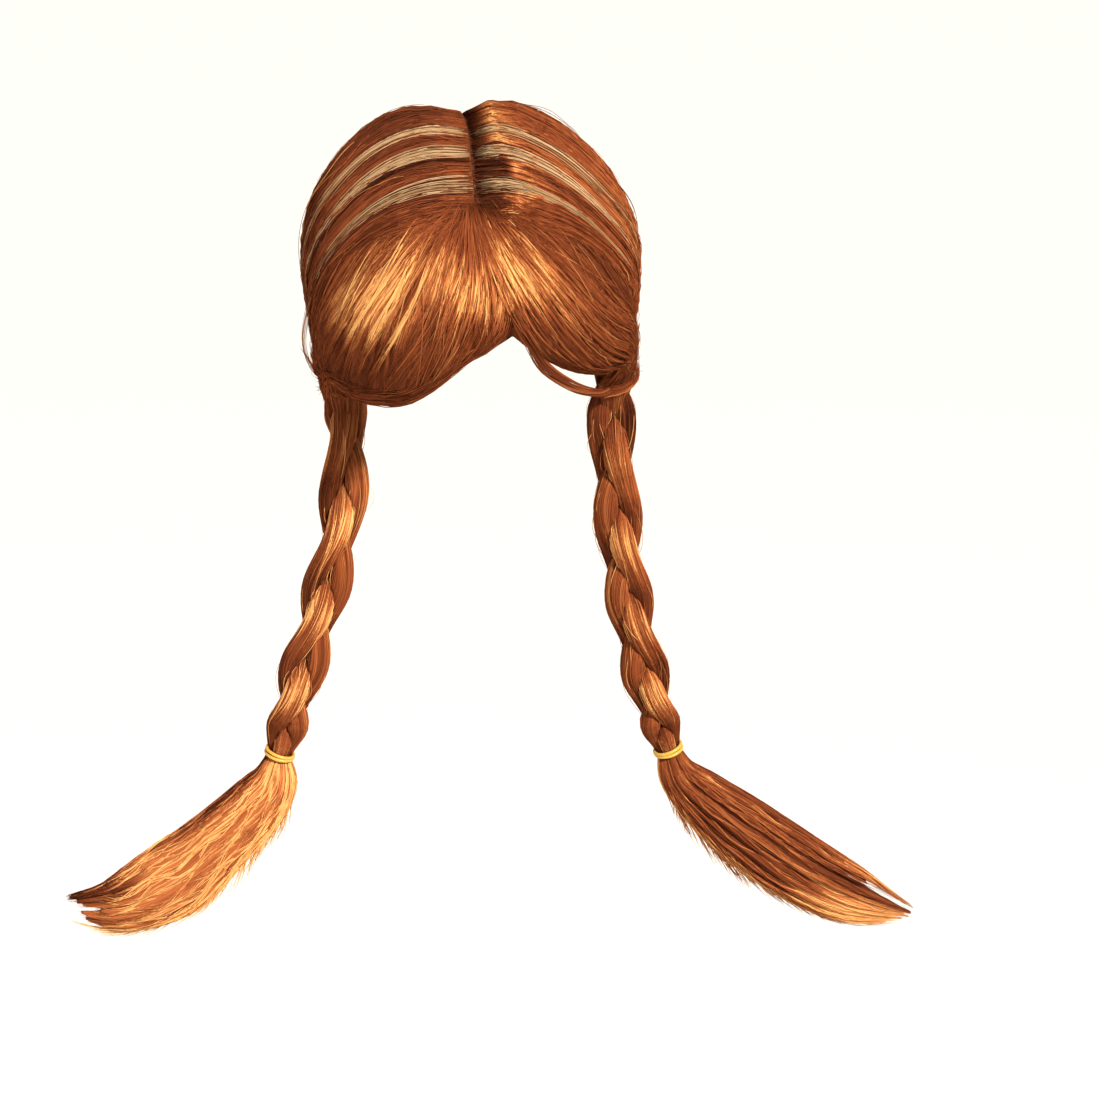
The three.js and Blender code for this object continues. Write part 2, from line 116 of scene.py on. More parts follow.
FRINGE_FORM = Form(
    edge=-0.007, tuck=0.02, mid_wall=9.0, tip_wall=7.0, curl=5.0, under=5.0, lip=3.5,
    root_drop=1.5, off_cap=0.2, base_reach=0.97, base_depth=1.2, base_gleam=0.6,
)
FRINGE_LOCKS = Form(count=6, height=1.4)
# Control places, root to tip, of the lowest, a middle and the highest hair of each fan
FRINGE_FAN = {
    "right": {
        "across": [(-0.015, -0.06, -0.1, 0.14), (0.09, 0.28, 0.5, 0.6), (0.32, 0.6, 1.0, 1.0)],
        "along": [(0.0, 0.5, 1.02, 1.0), (0.0, 0.1, 0.48, 1.0), (0.0, -0.1, -0.04, 1.0)],
    },
    "left": {
        "across": [(-0.01, -0.06, -0.08, 0.4), (0.08, 0.28, 0.55, 0.88), (0.3, 0.6, 0.95, 1.0)],
        "along": [(0.0, 0.6, 1.08, 1.0), (0.0, 0.3, 0.7, 1.0), (0.0, -0.1, -0.02, 0.85)],
    },
}
FRINGE_HAIRS = Form(
    clumps=64, crowding=1.25, pull=0.5, sway=0.022, sway_waves=1.3, wander=0.012,
    short=0.35, shortest=0.65, depth_power=1.5, lock_depth=0.7, tuck=0.002, tuck_more=0.055,
    over=2.0, tied_at=(7.0, -8.0, 3.0), tied_scatter=2.5, tied_share=0.92, ragged=(0.05, 0.03),
    root_evenness=0.45, patches=(0.85, 0.3, 0.15, (0.1, 1.2)),
)
# Painted highlight in gold on the swell of the fringe, standing in for sunlight: where it starts and ends
# root to tip, and how strong it is; a height below 0 is painted shade
FRINGE_PAINTED_GLEAM = {
    "right": {
        "across": [0, 0.1, 0.22, 0.35, 0.5, 0.7, 0.8, 0.82, 0.94],
        "from": [0.35, 0.3, 0.14, 0.12, 0.15, 0.22, 0.26, -0.1, -0.1],
        "to": [0.85, 0.7, 0.46, 0.44, 0.62, 0.5, 0.42, 1.2, 1.2],
        "height": [0.3, 0.44, 0.48, 0.5, 0.52, 0.32, 0, 0, -0.14],
    },
    "left": {
        "across": [0, 0.08, 0.2, 0.35, 0.6],
        "from": [0.26, 0.2, 0.2, 0.26, 0.36],
        "to": [0.8, 0.66, 0.54, 0.46, 0.42],
        "height": [0.58, 0.74, 0.54, 0.18, 0.0],
    },
}
PAINTED_GLEAM_EDGE = 0.07
# How dark the painted shade is in the fold over the curled lower edge
FRINGE_FOLD_PAINTED_SHADE = {"right": 0.2, "left": 0.1}
# Hairs along the lower edge of the fringe. They end beside the top of the plait: outward, to the back and up
SWEEP = Form(
    start=(0.12, 0.85), height=0.86, root_depth=0.6, depth=(-1.3, 2.0),
    end={"right": (9.0, -15.0, 6.0), "left": (12.0, -13.0, 11.0)}, scatter={"right": 3.5, "left": 1.6},
    tones=(-0.04, 0.12),
)
FRINGE_TIE = Form(
    start=(0.72, 0.95), height=(0.25, 1), depth=(-0.3, 0.8), edge_height=(0.45, 1),
    turn=(-20, -120), turn_scatter=8, rise=0.3, radius=12.0, tones=(-0.02, 0.1),
)
# Loose hairs at the wearer's right temple
TEMPLE_HAIRS = {
    "temple_wisp": Form(
        line=[(-71, 2, -151), (-80, -15, -137), (-88, -20, -122), (-96, -22, -108)], radius=(2.6, 0.4),
    ),
    "temple_loose": Form(
        line=[(-84, -34, -66), (-90, -27, -86), (-93, -21, -108), (-88, -13, -128), (-72, 2, -147)],
        radius=(2.2, 1.2),
    ),
}
TEMPLE = Form(shortest=0.72, twist=1.5, inside=0.1, tones=(0.26, 0.12))

HIGHLIGHTS = Form(
    places=[0.085, 0.175, 0.265], half_width=0.013, narrowing=0.75, spread=0.75, most=1.8,
    start=0.03, to=0.68, uneven=(-0.3, 0.12), rise=(-0.8, 0.3), tones=(0.4, 0.2),
)

# Plaits
PLAIT_LINE = {
    "right": [(-70, 5.5, -147.3), (-70, 4, -160), (-71, -6, -188), (-77, -17, -228), (-89, -26, -270),
              (-102.5, -32, -312), (-115, -36, -354)],
    "left": [(79, 5.5, -147.7), (79, 4, -160), (80, -6, -190), (82.5, -17, -234), (88.5, -26, -278),
             (98, -32, -322), (110, -36, -364)],
}
PLAIT = Form(swing=6.0, depth=5.0, width=7.5, height=6.0, gap=0.2, turn_in=28.0, tuck=2.6)
STRAND = Form(base_depth=0.3, packing=8, drift=0.03, swell=(-0.2, 0.12), relief=0.12, locks=14)
PLAIT_PHASE = {"right": 124.0, "left": 69.0, "end": 630.0}
PLAIT_TIGHTENING = 0.2
PLAIT_END = Form(start=0.88, spread=4.5, radius=4.1, squeeze=0.83, squeeze_from=0.965)
# Painted light at the top of the right plait, in the fringe's shade, and painted shade at the top of the left
# plait
PLAIT_TOP_PAINTED_LIGHT = {"right": 0.12, "left": -0.14}
# Painted highlight on the plaits: where in its turn through the weave, in degrees, a strand gleams; and how
# dark the painted shade is where it dips under the other two
PLAIT_PAINTED_GLEAM = Form(
    start=25.0, end=38.0, rise=25.0, fall=40.0, ragged=12.0, height=0.46, valley=0.2,
    patches=(0.75, 0.4, 0.2, (0, 1.3)),
)
TIE = Form(radius=8.0, cord=0.95, apart=0.9, rise=1.5, tilt=0.5, uneven=0.35)

# Loose ends: centreline, half width and half thickness
TAIL = {
    "right": {
        "line": [(-115.2, -36, -354.6), (-118.8, -37.5, -370), (-129.5, -39, -384.5), (-152, -40.5, -406),
                 (-180, -42, -429.5), (-213, -43.5, -443), (-242, -45, -441)],
        "half_width": [7.0, 14, 18, 20.5, 24.5, 18, 6.5],
        "half_thick": [6.6, 10, 11.5, 12, 11, 8, 3.5],
    },
    "left": {
        "line": [(110.3, -36.1, -365.1), (115.6, -37.4, -379), (127.5, -39, -392), (153, -40.5, -415.5),
                 (185, -42, -441.5), (222, -43.5, -465), (256, -45, -478)],
        "half_width": [7.0, 11.5, 15.9, 20.5, 21.5, 18, 5],
        "half_thick": [6.4, 10, 11.5, 12, 11, 8, 3.5],
    },
}
# How far the hairs of a loose end reach, from its upper edge to its lower edge, and the share of that which
# its solid core has
TAIL_ENDS = {
    "right": {
        "across": [0, 0.1, 0.3, 0.45, 0.57, 0.62, 0.8, 1],
        "reach": [0.97, 1.0, 1.0, 0.96, 0.89, 0.96, 0.91, 0.8],
        "core": [0.96, 0.97, 0.97, 0.96, 0.96, 0.96, 0.96, 0.96],
    },
    "left": {
        "across": [0, 0.14, 0.26, 0.28, 0.36, 0.38, 0.6, 0.8, 1],
        "reach": [1.0, 1.0, 0.97, 0.74, 0.77, 1.0, 1.0, 0.97, 0.9],
        "core": [0.85, 0.85, 0.85, 0.96, 0.96, 0.97, 0.97, 0.96, 0.96],
    },
}
TAIL_LOCKS = Form(
    count=10, height=1.2, pull=(0.2, 0.6), pull_from=0.6, ragged=0.025, edge=0.3,
    tip_fullness=0.3, base_depth=0.25, in_front=0.6,
)
TAIL_HAIRS = Form(
    tufts=44, pull=0.5, wander=0.02, uneven=0.025, rise=0.3, ragged=0.05,
    dark_share=0.25, blotch=0.08, tuft_tone=0.08,
)
TAIL_CRIMP = {"right": 0.022, "left": 0.012, "waves": 5.0}
TAIL_DARK = {"right": 0.14, "left": 0.17}
TAIL_FRAY = Form(
    locks=15, start=(0.12, 0.74), length=(0.16, 0.26), furthest=0.98, inside=(0.72, 0.97),
    flick=(-0.02, 0.16), bend=1.6, rise=0.3, least_tone=0.6, tones=(0.18, 0.12),
)

# A thin lock that leaves the fringe and wraps the top of the wearer's left plait
WRAP_LOCK = Form(
    path=[(15, -113, -58), (22, -110, -76), (31, -102, -95), (45, -97, -108), (60, -80, -120),
          (71, -50, -132)],
    turn=(-105.0, 40.0), turn_points=5, turn_radius=15.4, turn_height=(-149.5, -138.0), late_rise=1.6,
    radius=2.2, section=(0.6, 1.3), twist=0.8, looseness=0.35, tone_spread=0.13,
)

# Tone of each body of hair, from dark auburn at 0 to gold at 1
TONES = {
    "side_hair": {"right": 0.44, "left": 0.46},
    "fringe": {"right": 0.47, "left": 0.47},
    "plait": {"right": 0.54, "left": 0.52},
    # The right loose end's high gold tone is partly painted sunlight
    "tail": {"right": 0.92, "left": 0.54},
}
# How much darker the bases under the fibres and their inner faces are, as painted shade between the fibres
# and on the undersides, and how much tones differ
BASE_PAINTED_SHADE = -0.12
LINING_PAINTED_SHADE = -0.25
BLOTCH = 0.05
LOCK_TONE = 0.07
FIBRE_TONE = 0.06
TONE_LIMITS = (0.02, 0.98)
PLAIN_TONE = 0.5
# Painted light and shade on the side hair by drawn-in distance from the parting: on the left, painted shade
# in the trough by the parting, a painted highlight on the crest beside it and painted light lower down; on
# the right, painted shade over the top
SIDE_PAINTED_LIGHT = {
    "along": [0, 0.03, 0.07, 0.1, 0.115, 0.14, 0.19, 0.4, 0.6, 0.8, 1, 1.4],
    "right": [0.0, -0.1, -0.16, -0.18, -0.19, -0.2, -0.2, -0.1, -0.14, -0.08, 0, 0],
    "left": [-0.16, -0.27, -0.28, -0.2, 0.5, 0.42, 0.06, 0.03, 0.06, 0.03, 0.1, 0.14],
    "behind": 0.25,
}
# How far that painted light and shade is drawn in towards the parting, from its front end to behind the crown
PAINTED_LIGHT_DRAW = {
    "root": [0, 0.035, 0.08, 0.14, 0.22, 0.4],
    "right": [1, 1, 1, 1, 1, 1],
    "left": [2.0, 1.5, 1.0, 1.15, 2.0, 2.2],
}

# Fibres of each kind of hair: how many there are, and how many points each has
FIBRES = {
    "side": (1240, 13), "side_stray": (70, 26), "nape": (90, 13), "highlight": (46, 13),
    "fringe_right": (1350, 14), "fringe_left": (1030, 14), "fringe_tie": (110, 12), "fringe_stray": (60, 24),
    "sweep_right": (190, 22), "sweep_left": (120, 22), "temple_wisp": (40, 16), "temple_loose": (9, 16),
    "strand": (88, 46), "strand_stray": (48, 14), "tail": (430, 24), "fray": (190, 14), "wrap": (56, 44),
}
# The least and greatest radius of a fibre
FIBRE_RADIUS = (0.2, 0.3)
PLAIT_RADIUS = (0.22, 0.34)
STRAY_RADIUS = (0.12, 0.19)
# Single hairs that stand off. None roots nearer the nape than the limit, a share of the parting
STRAYS = {
    "side": Form(
        start=(0, 0.55), length=(0.2, 0.42), wander=0.03, steady_at=0, nape_limit=0.975, off=0, rise=0.9,
        tones=(0.12, 0.15),
    ),
    "fringe": Form(
        start=(0, 0.4), length=(0.35, 0.6), wander=0.1, steady_at=0.3, off=0.2, rise=0.8,
        tones=(0.15, 0.15),
    ),
    "strand": Form(
        start=(0, 0.86), length=(0.05, 0.13), wander=0.06, off=0.2, rise=0.7, tones=(0.3, 0.1),
    ),
}
SEEDS = Form(side_hair=100, fringe=110, highlight=120, plait=140, tail=160, wrap_lock=170)
# Points of the solid base of each body, in its two ways
GRIDS = {
    "side": (160, 46), "fringe": (96, 30), "strand": (90, 22), "tail": (121, 30),
    "cap": (97, 26), "seam": (5, 120), "tie": (64, 10),
}

# How thick a fibre is at its root and its tip, as shares of its radius
ROOT_TAPER = 0.55
TIP_TAPER = 0.22

# Boxes of the spread-out map for the bases and for each kind of fibre, the gap between boxes, and how the
# walls and the tips of fibres share a box
BODY_MAP = ((0.002, 0.002), (0.998, 0.42))
FIBRE_MAP = ((0.002, 0.43), (0.998, 0.86))
SWEEP_MAP = ((0.002, 0.87), (0.598, 0.93))
TIE_MAP = ((0.602, 0.87), (0.998, 0.93))
STRAY_MAP = ((0.002, 0.935), (0.998, 0.97))
WISP_MAP = ((0.002, 0.975), (0.998, 0.998))
MAP_GAP = 0.004
WALL_SHARE = 0.96
TIP_ROWS = (0.97, 0.985)
TIP_HEIGHT = 0.01

# Colours by tone, how much the streaks of the hair differ with tone, and the depth of fine relief in metres
AUBURN = [(0.0, (0.03, 0.0085, 0.0045)), (0.3, (0.12, 0.03, 0.012)), (0.55, (0.27, 0.067, 0.0225)),
          (0.8, (0.5, 0.17, 0.053)), (1.0, (0.86, 0.47, 0.165))]
BLOND = [(0.0, (0.2, 0.1, 0.042)), (0.4, (0.4, 0.25, 0.125)), (1.0, (0.66, 0.48, 0.3))]
TONE_STRETCH = 37.0
RELIEF_DEPTH = 0.0004

# Photograph: view angle, distance, scale at the head's centre and that centre's pixel in the square frame
VIEW = Form(azimuth=-6.0, elevation=25.0, distance=1800.0, mm_per_pixel=0.55)
FRAME_PIXELS = 1100.0
HEAD_PIXEL = (469.5, 275.0)
SENSOR_MM = 36.0
FLOOR = Form(half=80000.0, height=-1600.0, colour=(0.68, 0.68, 0.67))
SOFT_LIGHT = Form(target=(0.0, 0.0, -200.0), distance=2400.0)


def smooth_step(low, high, value):
    t = np.clip((value - low) / (high - low), 0, 1)
    return t * t * (3 - 2 * t)


def mix(a, b, share):
    return a + (b - a) * share


def unit(vectors):
    return vectors / np.linalg.norm(vectors, axis=-1, keepdims=True)


def look_up(xs, ys, at):
    """Reads ys at places along the rising xs, on a smooth curve through every row."""
    xs, ys, at = (np.asarray(values, float) for values in (xs, ys, at))
    slope = np.empty_like(ys)
    slope[1:-1] = (ys[2:] - ys[:-2]) / (xs[2:] - xs[:-2])
    slope[0] = (ys[1] - ys[0]) / (xs[1] - xs[0])
    slope[-1] = (ys[-1] - ys[-2]) / (xs[-1] - xs[-2])
    i = np.clip(np.searchsorted(xs, at, side="right") - 1, 0, len(xs) - 2)
    span, rise = xs[i + 1] - xs[i], ys[i + 1] - ys[i]
    t = (at - xs[i]) / span
    bend = (1 - t) * (slope[i] * span - rise) - t * (slope[i + 1] * span - rise)
    return ys[i] + rise * t + t * (1 - t) * bend


def waves(seed, swells_across, swells_along, across, along, count=7):
    """Smooth seeded noise, mostly from -1 to 1, with a number of swells over the unit square."""
    rng = np.random.default_rng(seed)
    total = np.zeros(np.broadcast(across, along).shape)
    for _ in range(count):
        f, g = rng.uniform(0.4, 1.4) * swells_across, rng.uniform(-1.2, 1.2) * swells_along
        total = total + np.sin(2 * np.pi * (f * across + g * along + rng.uniform()))
    return total / np.sqrt(count)


def curve_samples(points, per_span=60):
    """A centripetal curve through points: its samples and each sample's place in rows, from 0 to 1."""
    p = np.asarray(points, float)
    p = np.vstack([2 * p[0] - p[1], p, 2 * p[-1] - p[-2]])
    t = np.linspace(0, 1, per_span, endpoint=False)[:, None]
    spans = []
    for a, b, c, d in zip(p[:-3], p[1:-2], p[2:-1], p[3:]):
        before, here, after = (np.sqrt(np.linalg.norm(r - q)) for q, r in ((a, b), (b, c), (c, d)))
        m1 = ((b - a) / before - (c - a) / (before + here) + (c - b) / here) * here
        m2 = ((c - b) / here - (d - b) / (here + after) + (d - c) / after) * here
        spans.append(b + m1 * t + (3 * (c - b) - 2 * m1 - m2) * t**2 + (2 * (b - c) + m1 + m2) * t**3)
    samples = np.vstack(spans + [p[-2:-1]])
    return samples, np.linspace(0, 1, len(samples))


def along_curve(points, share, by_length=True):
    """Points and unit tangents at shares of a curve, by its length or by its rows."""
    samples, rows = curve_samples(points)
    run = np.concatenate([[0], np.cumsum(np.linalg.norm(np.diff(samples, axis=0), axis=1))])
    place = run / run[-1] if by_length else rows
    tangents = unit(np.gradient(samples, axis=0))
    pick = lambda values: np.stack([np.interp(share, place, values[:, k]) for k in range(3)], axis=-1)
    return pick(samples), unit(pick(tangents))


# Forms of the hair

def head_point(direction, lift):
    """The head form grown outward by a lift, met in a direction from the head's centre."""
    d = unit(direction)
    rise = np.where(d[..., 2] >= 0, HEAD.crown_rise, HEAD.lower_reach) + lift
    level = np.hypot(d[..., 0] / (HEAD.half_breadth + lift), d[..., 1] / (HEAD.half_depth + lift))
    power = HEAD.squareness
    reach = (level**power + np.abs(d[..., 2] / rise) ** power) ** (-1 / power)
    return HEAD_CENTRE + d * reach[..., None]


def head_at(azimuth, height, lift):
    """The same form met at an azimuth, with 0 forward and 90 to the wearer's left, and at a height."""
    up = height - HEAD_CENTRE[2]
    rise = np.where(up >= 0, HEAD.crown_rise, HEAD.lower_reach) + lift
    power = HEAD.squareness
    level = np.clip(1 - np.abs(up / rise) ** power, 0, 1) ** (1 / power)
    sin, cos = np.sin(np.radians(azimuth)), np.cos(np.radians(azimuth))
    reach = level / np.hypot(sin / (HEAD.half_breadth + lift), cos / (HEAD.half_depth + lift))
    return np.stack(np.broadcast_arrays(reach * sin, -reach * cos, height), axis=-1)


def parting_direction(share, offset):
    angle = np.radians(mix(PARTING.front_angle, PARTING.nape_angle, share))
    drift = PARTING.front_drift * np.clip(np.cos(angle), 0, 1)
    return np.stack(np.broadcast_arrays(drift + offset, -np.cos(angle), np.sin(angle)), axis=-1)


def side_point(side, across, along, lift, ring_radius=GATHER_RING.radius):
    """A point of the side hair. Past 1, along carries on down into the top of the plait."""
    sign = SIGN[side]
    held = np.clip(along, 0, 1)
    start = parting_direction(across, sign * ROOT_GAP)
    bend = start + np.array([sign * SIDE_SWEEP, 0, 0])
    end = unit(GATHER[side] - HEAD_CENTRE)
    t = held[..., None]
    direction = (1 - t) ** 2 * start + 2 * t * (1 - t) * bend + t**2 * end
    past = along - held
    turn = np.radians(mix(-GATHER_RING.half_turn, GATHER_RING.half_turn, across))
    radius = ring_radius * (1 - GATHER_RUN.narrowing * past)
    ring = np.stack([sign * np.cos(turn) * radius, np.sin(turn) * radius, np.zeros_like(turn)], axis=-1)
    ring = ring + GATHER[side] + past[..., None] * GATHER_RUN.length * GATHER_RUN.way
    return mix(head_point(direction, lift), ring, smooth_step(GATHER_RING.start, 1, held)[..., None])


def relief_of(layers, across, along):
    return sum(height * waves(seed, *swells, across, along) for seed, *swells, height in layers)


def lock_height(locks, share):
    return locks.height * np.abs(np.sin(np.pi * locks.count * share))


def side_flow(side, root, along):
    """Where a hair rooted at a share of the parting lies across the side hair: it sweeps forward first."""
    return root * (1 - SIDE_FLOW[side] * (1 - root) * np.sin(np.pi * np.clip(along, 0, 1)))


def side_lift(side, root, along, tufted=True):
    held = np.clip(along, 0, 1)
    shown = smooth_step(0, SIDE_LOCKS.rise_to, held) * (1 - smooth_step(SIDE_LOCKS.fade_from, 1, held))
    relief = lock_height(SIDE_LOCKS, root) - SIDE_LOCKS.height / 2
    fine = relief_of(SIDE_RELIEF, root, held)
    unrest = np.sin(2 * np.pi * 17 * root + 4 * np.sin(2 * np.pi * 5 * root))
    ripple = TUFTS["count"] * root + TUFTS["unrest"] * unrest
    tufts = TUFTS[side] * np.sin(2 * np.pi * ripple) * (1 - smooth_step(0.06, 0.16, held)) * tufted
    tufts = tufts * mix(1, TUFTS["behind"], smooth_step(0.4, 0.55, root))
    return look_up(SIDE_LIFT["along"], SIDE_LIFT[side], held) + shown * (relief + fine) + tufts


def side_painted_light(side, root, along):
    """Painted light and shade from the parting outward, which fades behind the crown."""
    drawn = along * np.interp(root, PAINTED_LIGHT_DRAW["root"], PAINTED_LIGHT_DRAW[side])
    shown = mix(1, SIDE_PAINTED_LIGHT["behind"], smooth_step(0.4, 0.6, root))
    return shown * np.interp(drawn, SIDE_PAINTED_LIGHT["along"], SIDE_PAINTED_LIGHT[side])


def fringe_point(side, across, along, root_lift, mid_lift, tip_lift, tuck=0.0):
    cell = lambda column: look_up(FRINGE_SHARE, FRINGE[side][column], across)
    root_along = look_up(FRINGE_SHARE, FRINGE_ROOT, across)
    root = side_point(side, np.full_like(across, FRINGE_FORM.edge) + tuck, root_along, root_lift)
    middle = head_at(cell("mid_azimuth"), cell("mid_height"), cell("mid_lift") + mid_lift)
    tip = head_at(cell("tip_azimuth"), cell("tip_height"), cell("tip_lift") + tip_lift)
    t = along[..., None]
    return root * (1 - t) * (1 - 2 * t) + middle * 4 * t * (1 - t) + tip * t * (2 * t - 1)


def fringe_root_lift(side, across):
    root_along = look_up(FRINGE_SHARE, FRINGE_ROOT, across)
    return look_up(SIDE_LIFT["along"], SIDE_LIFT[side], root_along) - FRINGE_FORM.root_drop


def fringe_skin(side, across, along, depth, tuck=FRINGE_FORM.tuck):
    """A point of the fringe at a depth under its outer face, with its tips curled under.

    Its roots are tucked back from the front edge of the side hair by a share of the parting.
    """
    rise = lock_height(FRINGE_LOCKS, across) * smooth_step(0.1, 0.5, along)
    rise = rise + relief_of(FRINGE_RELIEF, across, along) * smooth_step(0.03, 0.3, along)
    curl = FRINGE_FORM.curl * smooth_step(0.8, 1, along)
    root = fringe_root_lift(side, across) - depth
    return fringe_point(side, across, along, root, rise - depth, rise - depth - curl, tuck)


def plait_axes(side, share):
    """Centre, across, front and along axes at shares of a plait's centreline."""
    centre, along = along_curve(PLAIT_LINE[side], share)
    turn = np.radians(PLAIT.turn_in)
    front = np.array([-SIGN[side] * np.sin(turn), -np.cos(turn), 0])
    front = unit(front - along * (along @ front)[..., None])
    across = np.cross(along, front) * -SIGN[side]
    return centre, across, front, along


def strand_phase(side, strand, share):
    """How far a strand has turned through the weave, in degrees."""
    turned = (1 - PLAIT_TIGHTENING) * share + PLAIT_TIGHTENING * share * share
    return 120 * strand + mix(PLAIT_PHASE[side], PLAIT_PHASE["end"], turned)


def strand_middle(side, strand, share):
    def woven(at):
        phase = np.radians(strand_phase(side, strand, at))
        return np.stack([PLAIT.swing * np.sin(phase), PLAIT.depth * np.sin(2 * phase)], axis=-1)

    tied = unit(woven(np.ones_like(share))) * PLAIT_END.spread
    return mix(woven(share), tied, smooth_step(PLAIT_END.start, 1, share)[..., None])


def strand_point(side, strand, share, angle, swell):
    """A point on a strand's skin: round where it is free, pressed flat where it meets the other two."""
    centre, across, front, _ = plait_axes(side, share)
    middle = strand_middle(side, strand, share)
    tied = smooth_step(PLAIT_END.start, 1, share)
    way = np.stack([np.cos(angle), np.sin(angle)], axis=-1)
    width, height = (mix(size, PLAIT_END.radius, tied) for size in (PLAIT.width, PLAIT.height))
    power = STRAND.packing
    packed = np.hypot(way[..., 0] / width, way[..., 1] / height) ** power
    for other in (1, 2):
        apart = strand_middle(side, (strand + other) % 3, share) - middle
        distance = np.linalg.norm(apart, axis=-1)
        facing = np.clip((way * apart).sum(-1) / distance, 0, 1)
        packed = packed + (2 * facing / (distance - PLAIT.gap)) ** power
    tucked = PLAIT.tuck * (1 - smooth_step(0, 0.08, share))
    spot = middle + way * (packed ** (-1 / power) + swell - tucked)[..., None]
    spot = spot * mix(1, PLAIT_END.squeeze, smooth_step(PLAIT_END.squeeze_from, 1, share))[..., None]
    point = centre + across * spot[..., :1] + front * spot[..., 1:]
    return point, across * way[..., :1] + front * way[..., 1:]


def tail_axes(side, along):
    centre, tangent = along_curve(TAIL[side]["line"], along, by_length=False)
    across = unit(np.cross(tangent, BACKWARD))
    front = np.cross(across, tangent)
    rows = np.linspace(0, 1, len(TAIL[side]["line"]))
    half_width = look_up(rows, TAIL[side]["half_width"], along)
    half_thick = look_up(rows, TAIL[side]["half_thick"], along)
    return centre, across, front, half_width, half_thick


# Meshes

class Hair:
    """Closed bodies gathered into one mesh, with a shade for each point and a spread-out map for each corner.

    A point's shade holds its tone, its share of the way from root to tip, and its place across the lock.
    """

    def __init__(self):
        self.points, self.shades, self.faces, self.maps = [], [], [], []
        self.count = 0

    def add(self, points, shades, faces, maps):
        """Takes in a closed body, with its faces turned outward."""
        points = points.reshape(-1, 3)
        order = 1 if enclosed(points, faces) > 0 else -1
        self.points.append(points)
        self.shades.append(shades.reshape(-1, 3))
        for face, corners in zip(faces, maps):
            self.faces.append(face[:, ::order] + self.count)
            self.maps.append(corners[:, ::order])
        self.count += len(points)

    def sheet_wall(self, outer, inner, shades, box, ring=False):
        """A closed wall between two grids of points."""
        n, m = outer.shape[:2]
        ids = np.arange(2 * n * m).reshape(2, n, m)
        if ring:
            ids = np.concatenate([ids, ids[:, :1]], axis=1)
        top, low = ids
        skins = [quads_of(top), quads_of(low)[:, ::-1]]
        rims = [strip_of(top[:, -1], low[:, -1]), strip_of(low[:, 0], top[:, 0])]
        if not ring:
            rims += [strip_of(low[-1], top[-1]), strip_of(top[0], low[0])]
        top_box, low_box, rim_box = split_box(box, [0.6, 0.3, 0.1])
        skin_map = grid_map(ids.shape[1], m)
        maps = [place(skin_map, top_box), place(skin_map[:, ::-1], low_box)]
        rows = split_box(rim_box, [1 / len(rims)] * len(rims), axis=1)
        maps += [place(line_map(len(rim)), row) for rim, row in zip(rims, rows)]
        # Inner faces are darker: painted shade on the undersides
        shaded_lining = shades + np.array([LINING_PAINTED_SHADE, 0, 0])
        self.add(np.stack([outer, inner]), np.stack([shades, shaded_lining]), skins + rims, maps)

    def tube(self, rings, shades, box):
        """A closed body through rings of equal length."""
        m, sides = rings.shape[:2]
        ids = np.arange(m * sides).reshape(m, sides)
        wrapped = np.concatenate([ids, ids[:, :1]], axis=1)
        wall_box, end_box = split_box(box, [0.94, 0.06])
        ends = [fan_of(ids[0]), fan_of(ids[-1][::-1])]
        maps = [place(grid_map(m, sides + 1), wall_box)]
        maps += [place(fan_map(sides), row) for row in split_box(end_box, [0.5, 0.5], axis=1)]
        self.add(rings, shades, [quads_of(wrapped)] + ends, maps)

    def loop(self, rings, shades, box):
        """A closed ring of rings, such as a band round a plait."""
        steps, sides = rings.shape[:2]
        ids = np.arange(steps * sides).reshape(steps, sides)
        wrapped = np.concatenate([ids, ids[:1]])
        wrapped = np.concatenate([wrapped, wrapped[:, :1]], axis=1)
        self.add(rings, shades, [quads_of(wrapped)], [place(grid_map(steps + 1, sides + 1), box)])

    def fibres(self, paths, out, radius, tones, box, spread):
        """Tapered three-sided fibres along paths, turned to face out, with a tone for each or each point."""
        n, m = paths.shape[:2]
        along = unit(np.gradient(paths, axis=1))
        side = unit(np.cross(along, np.broadcast_to(out, paths.shape)))
        up = np.cross(side, along)
        angles = np.radians([90, 210, 330])[:, None]
        ring = np.cos(angles) * side[:, :, None] + np.sin(angles) * up[:, :, None]
        share = np.linspace(0, 1, m)
        taper = mix(ROOT_TAPER, 1, smooth_step(0, 0.08, share))
        taper = taper * mix(1, TIP_TAPER, smooth_step(0.78, 1, share))
        points = paths[:, :, None] + ring * (radius[:, None] * taper)[:, :, None, None]
        ids = np.arange(n * m * 3).reshape(n, m, 3)
        nxt = np.roll(ids, -1, axis=2)
        walls = np.stack([ids[:, :-1], ids[:, 1:], nxt[:, 1:], nxt[:, :-1]], axis=-1)
        ends = np.concatenate([ids[:, 0], ids[:, -1, ::-1]])
        rank = np.argsort(np.argsort(spread))
        dx, dy = 0.8 / (3 * n), WALL_SHARE / (m - 1)
        x = rank[:, None, None] / n + np.arange(3) / (3 * n)
        y = dy * np.arange(m - 1)[:, None]
        wall_map = corners_of((x, y), (x, y + dy), (x + dx, y + dy), (x + dx, y))
        x, y = np.tile(rank / n, 2), np.repeat(TIP_ROWS, n)
        tip_map = corners_of((x, y), (x + dx, y), (x, y + TIP_HEIGHT))
        maps = [place(corners, box) for corners in (wall_map.reshape(-1, 4, 2), tip_map)]
        tone = np.repeat(tones.reshape(n, -1, 1), 3, axis=2)
        shades = shades_of(tone, share[:, None], spread[:, None, None])
        self.add(points, shades, [walls.reshape(-1, 4), ends], maps)

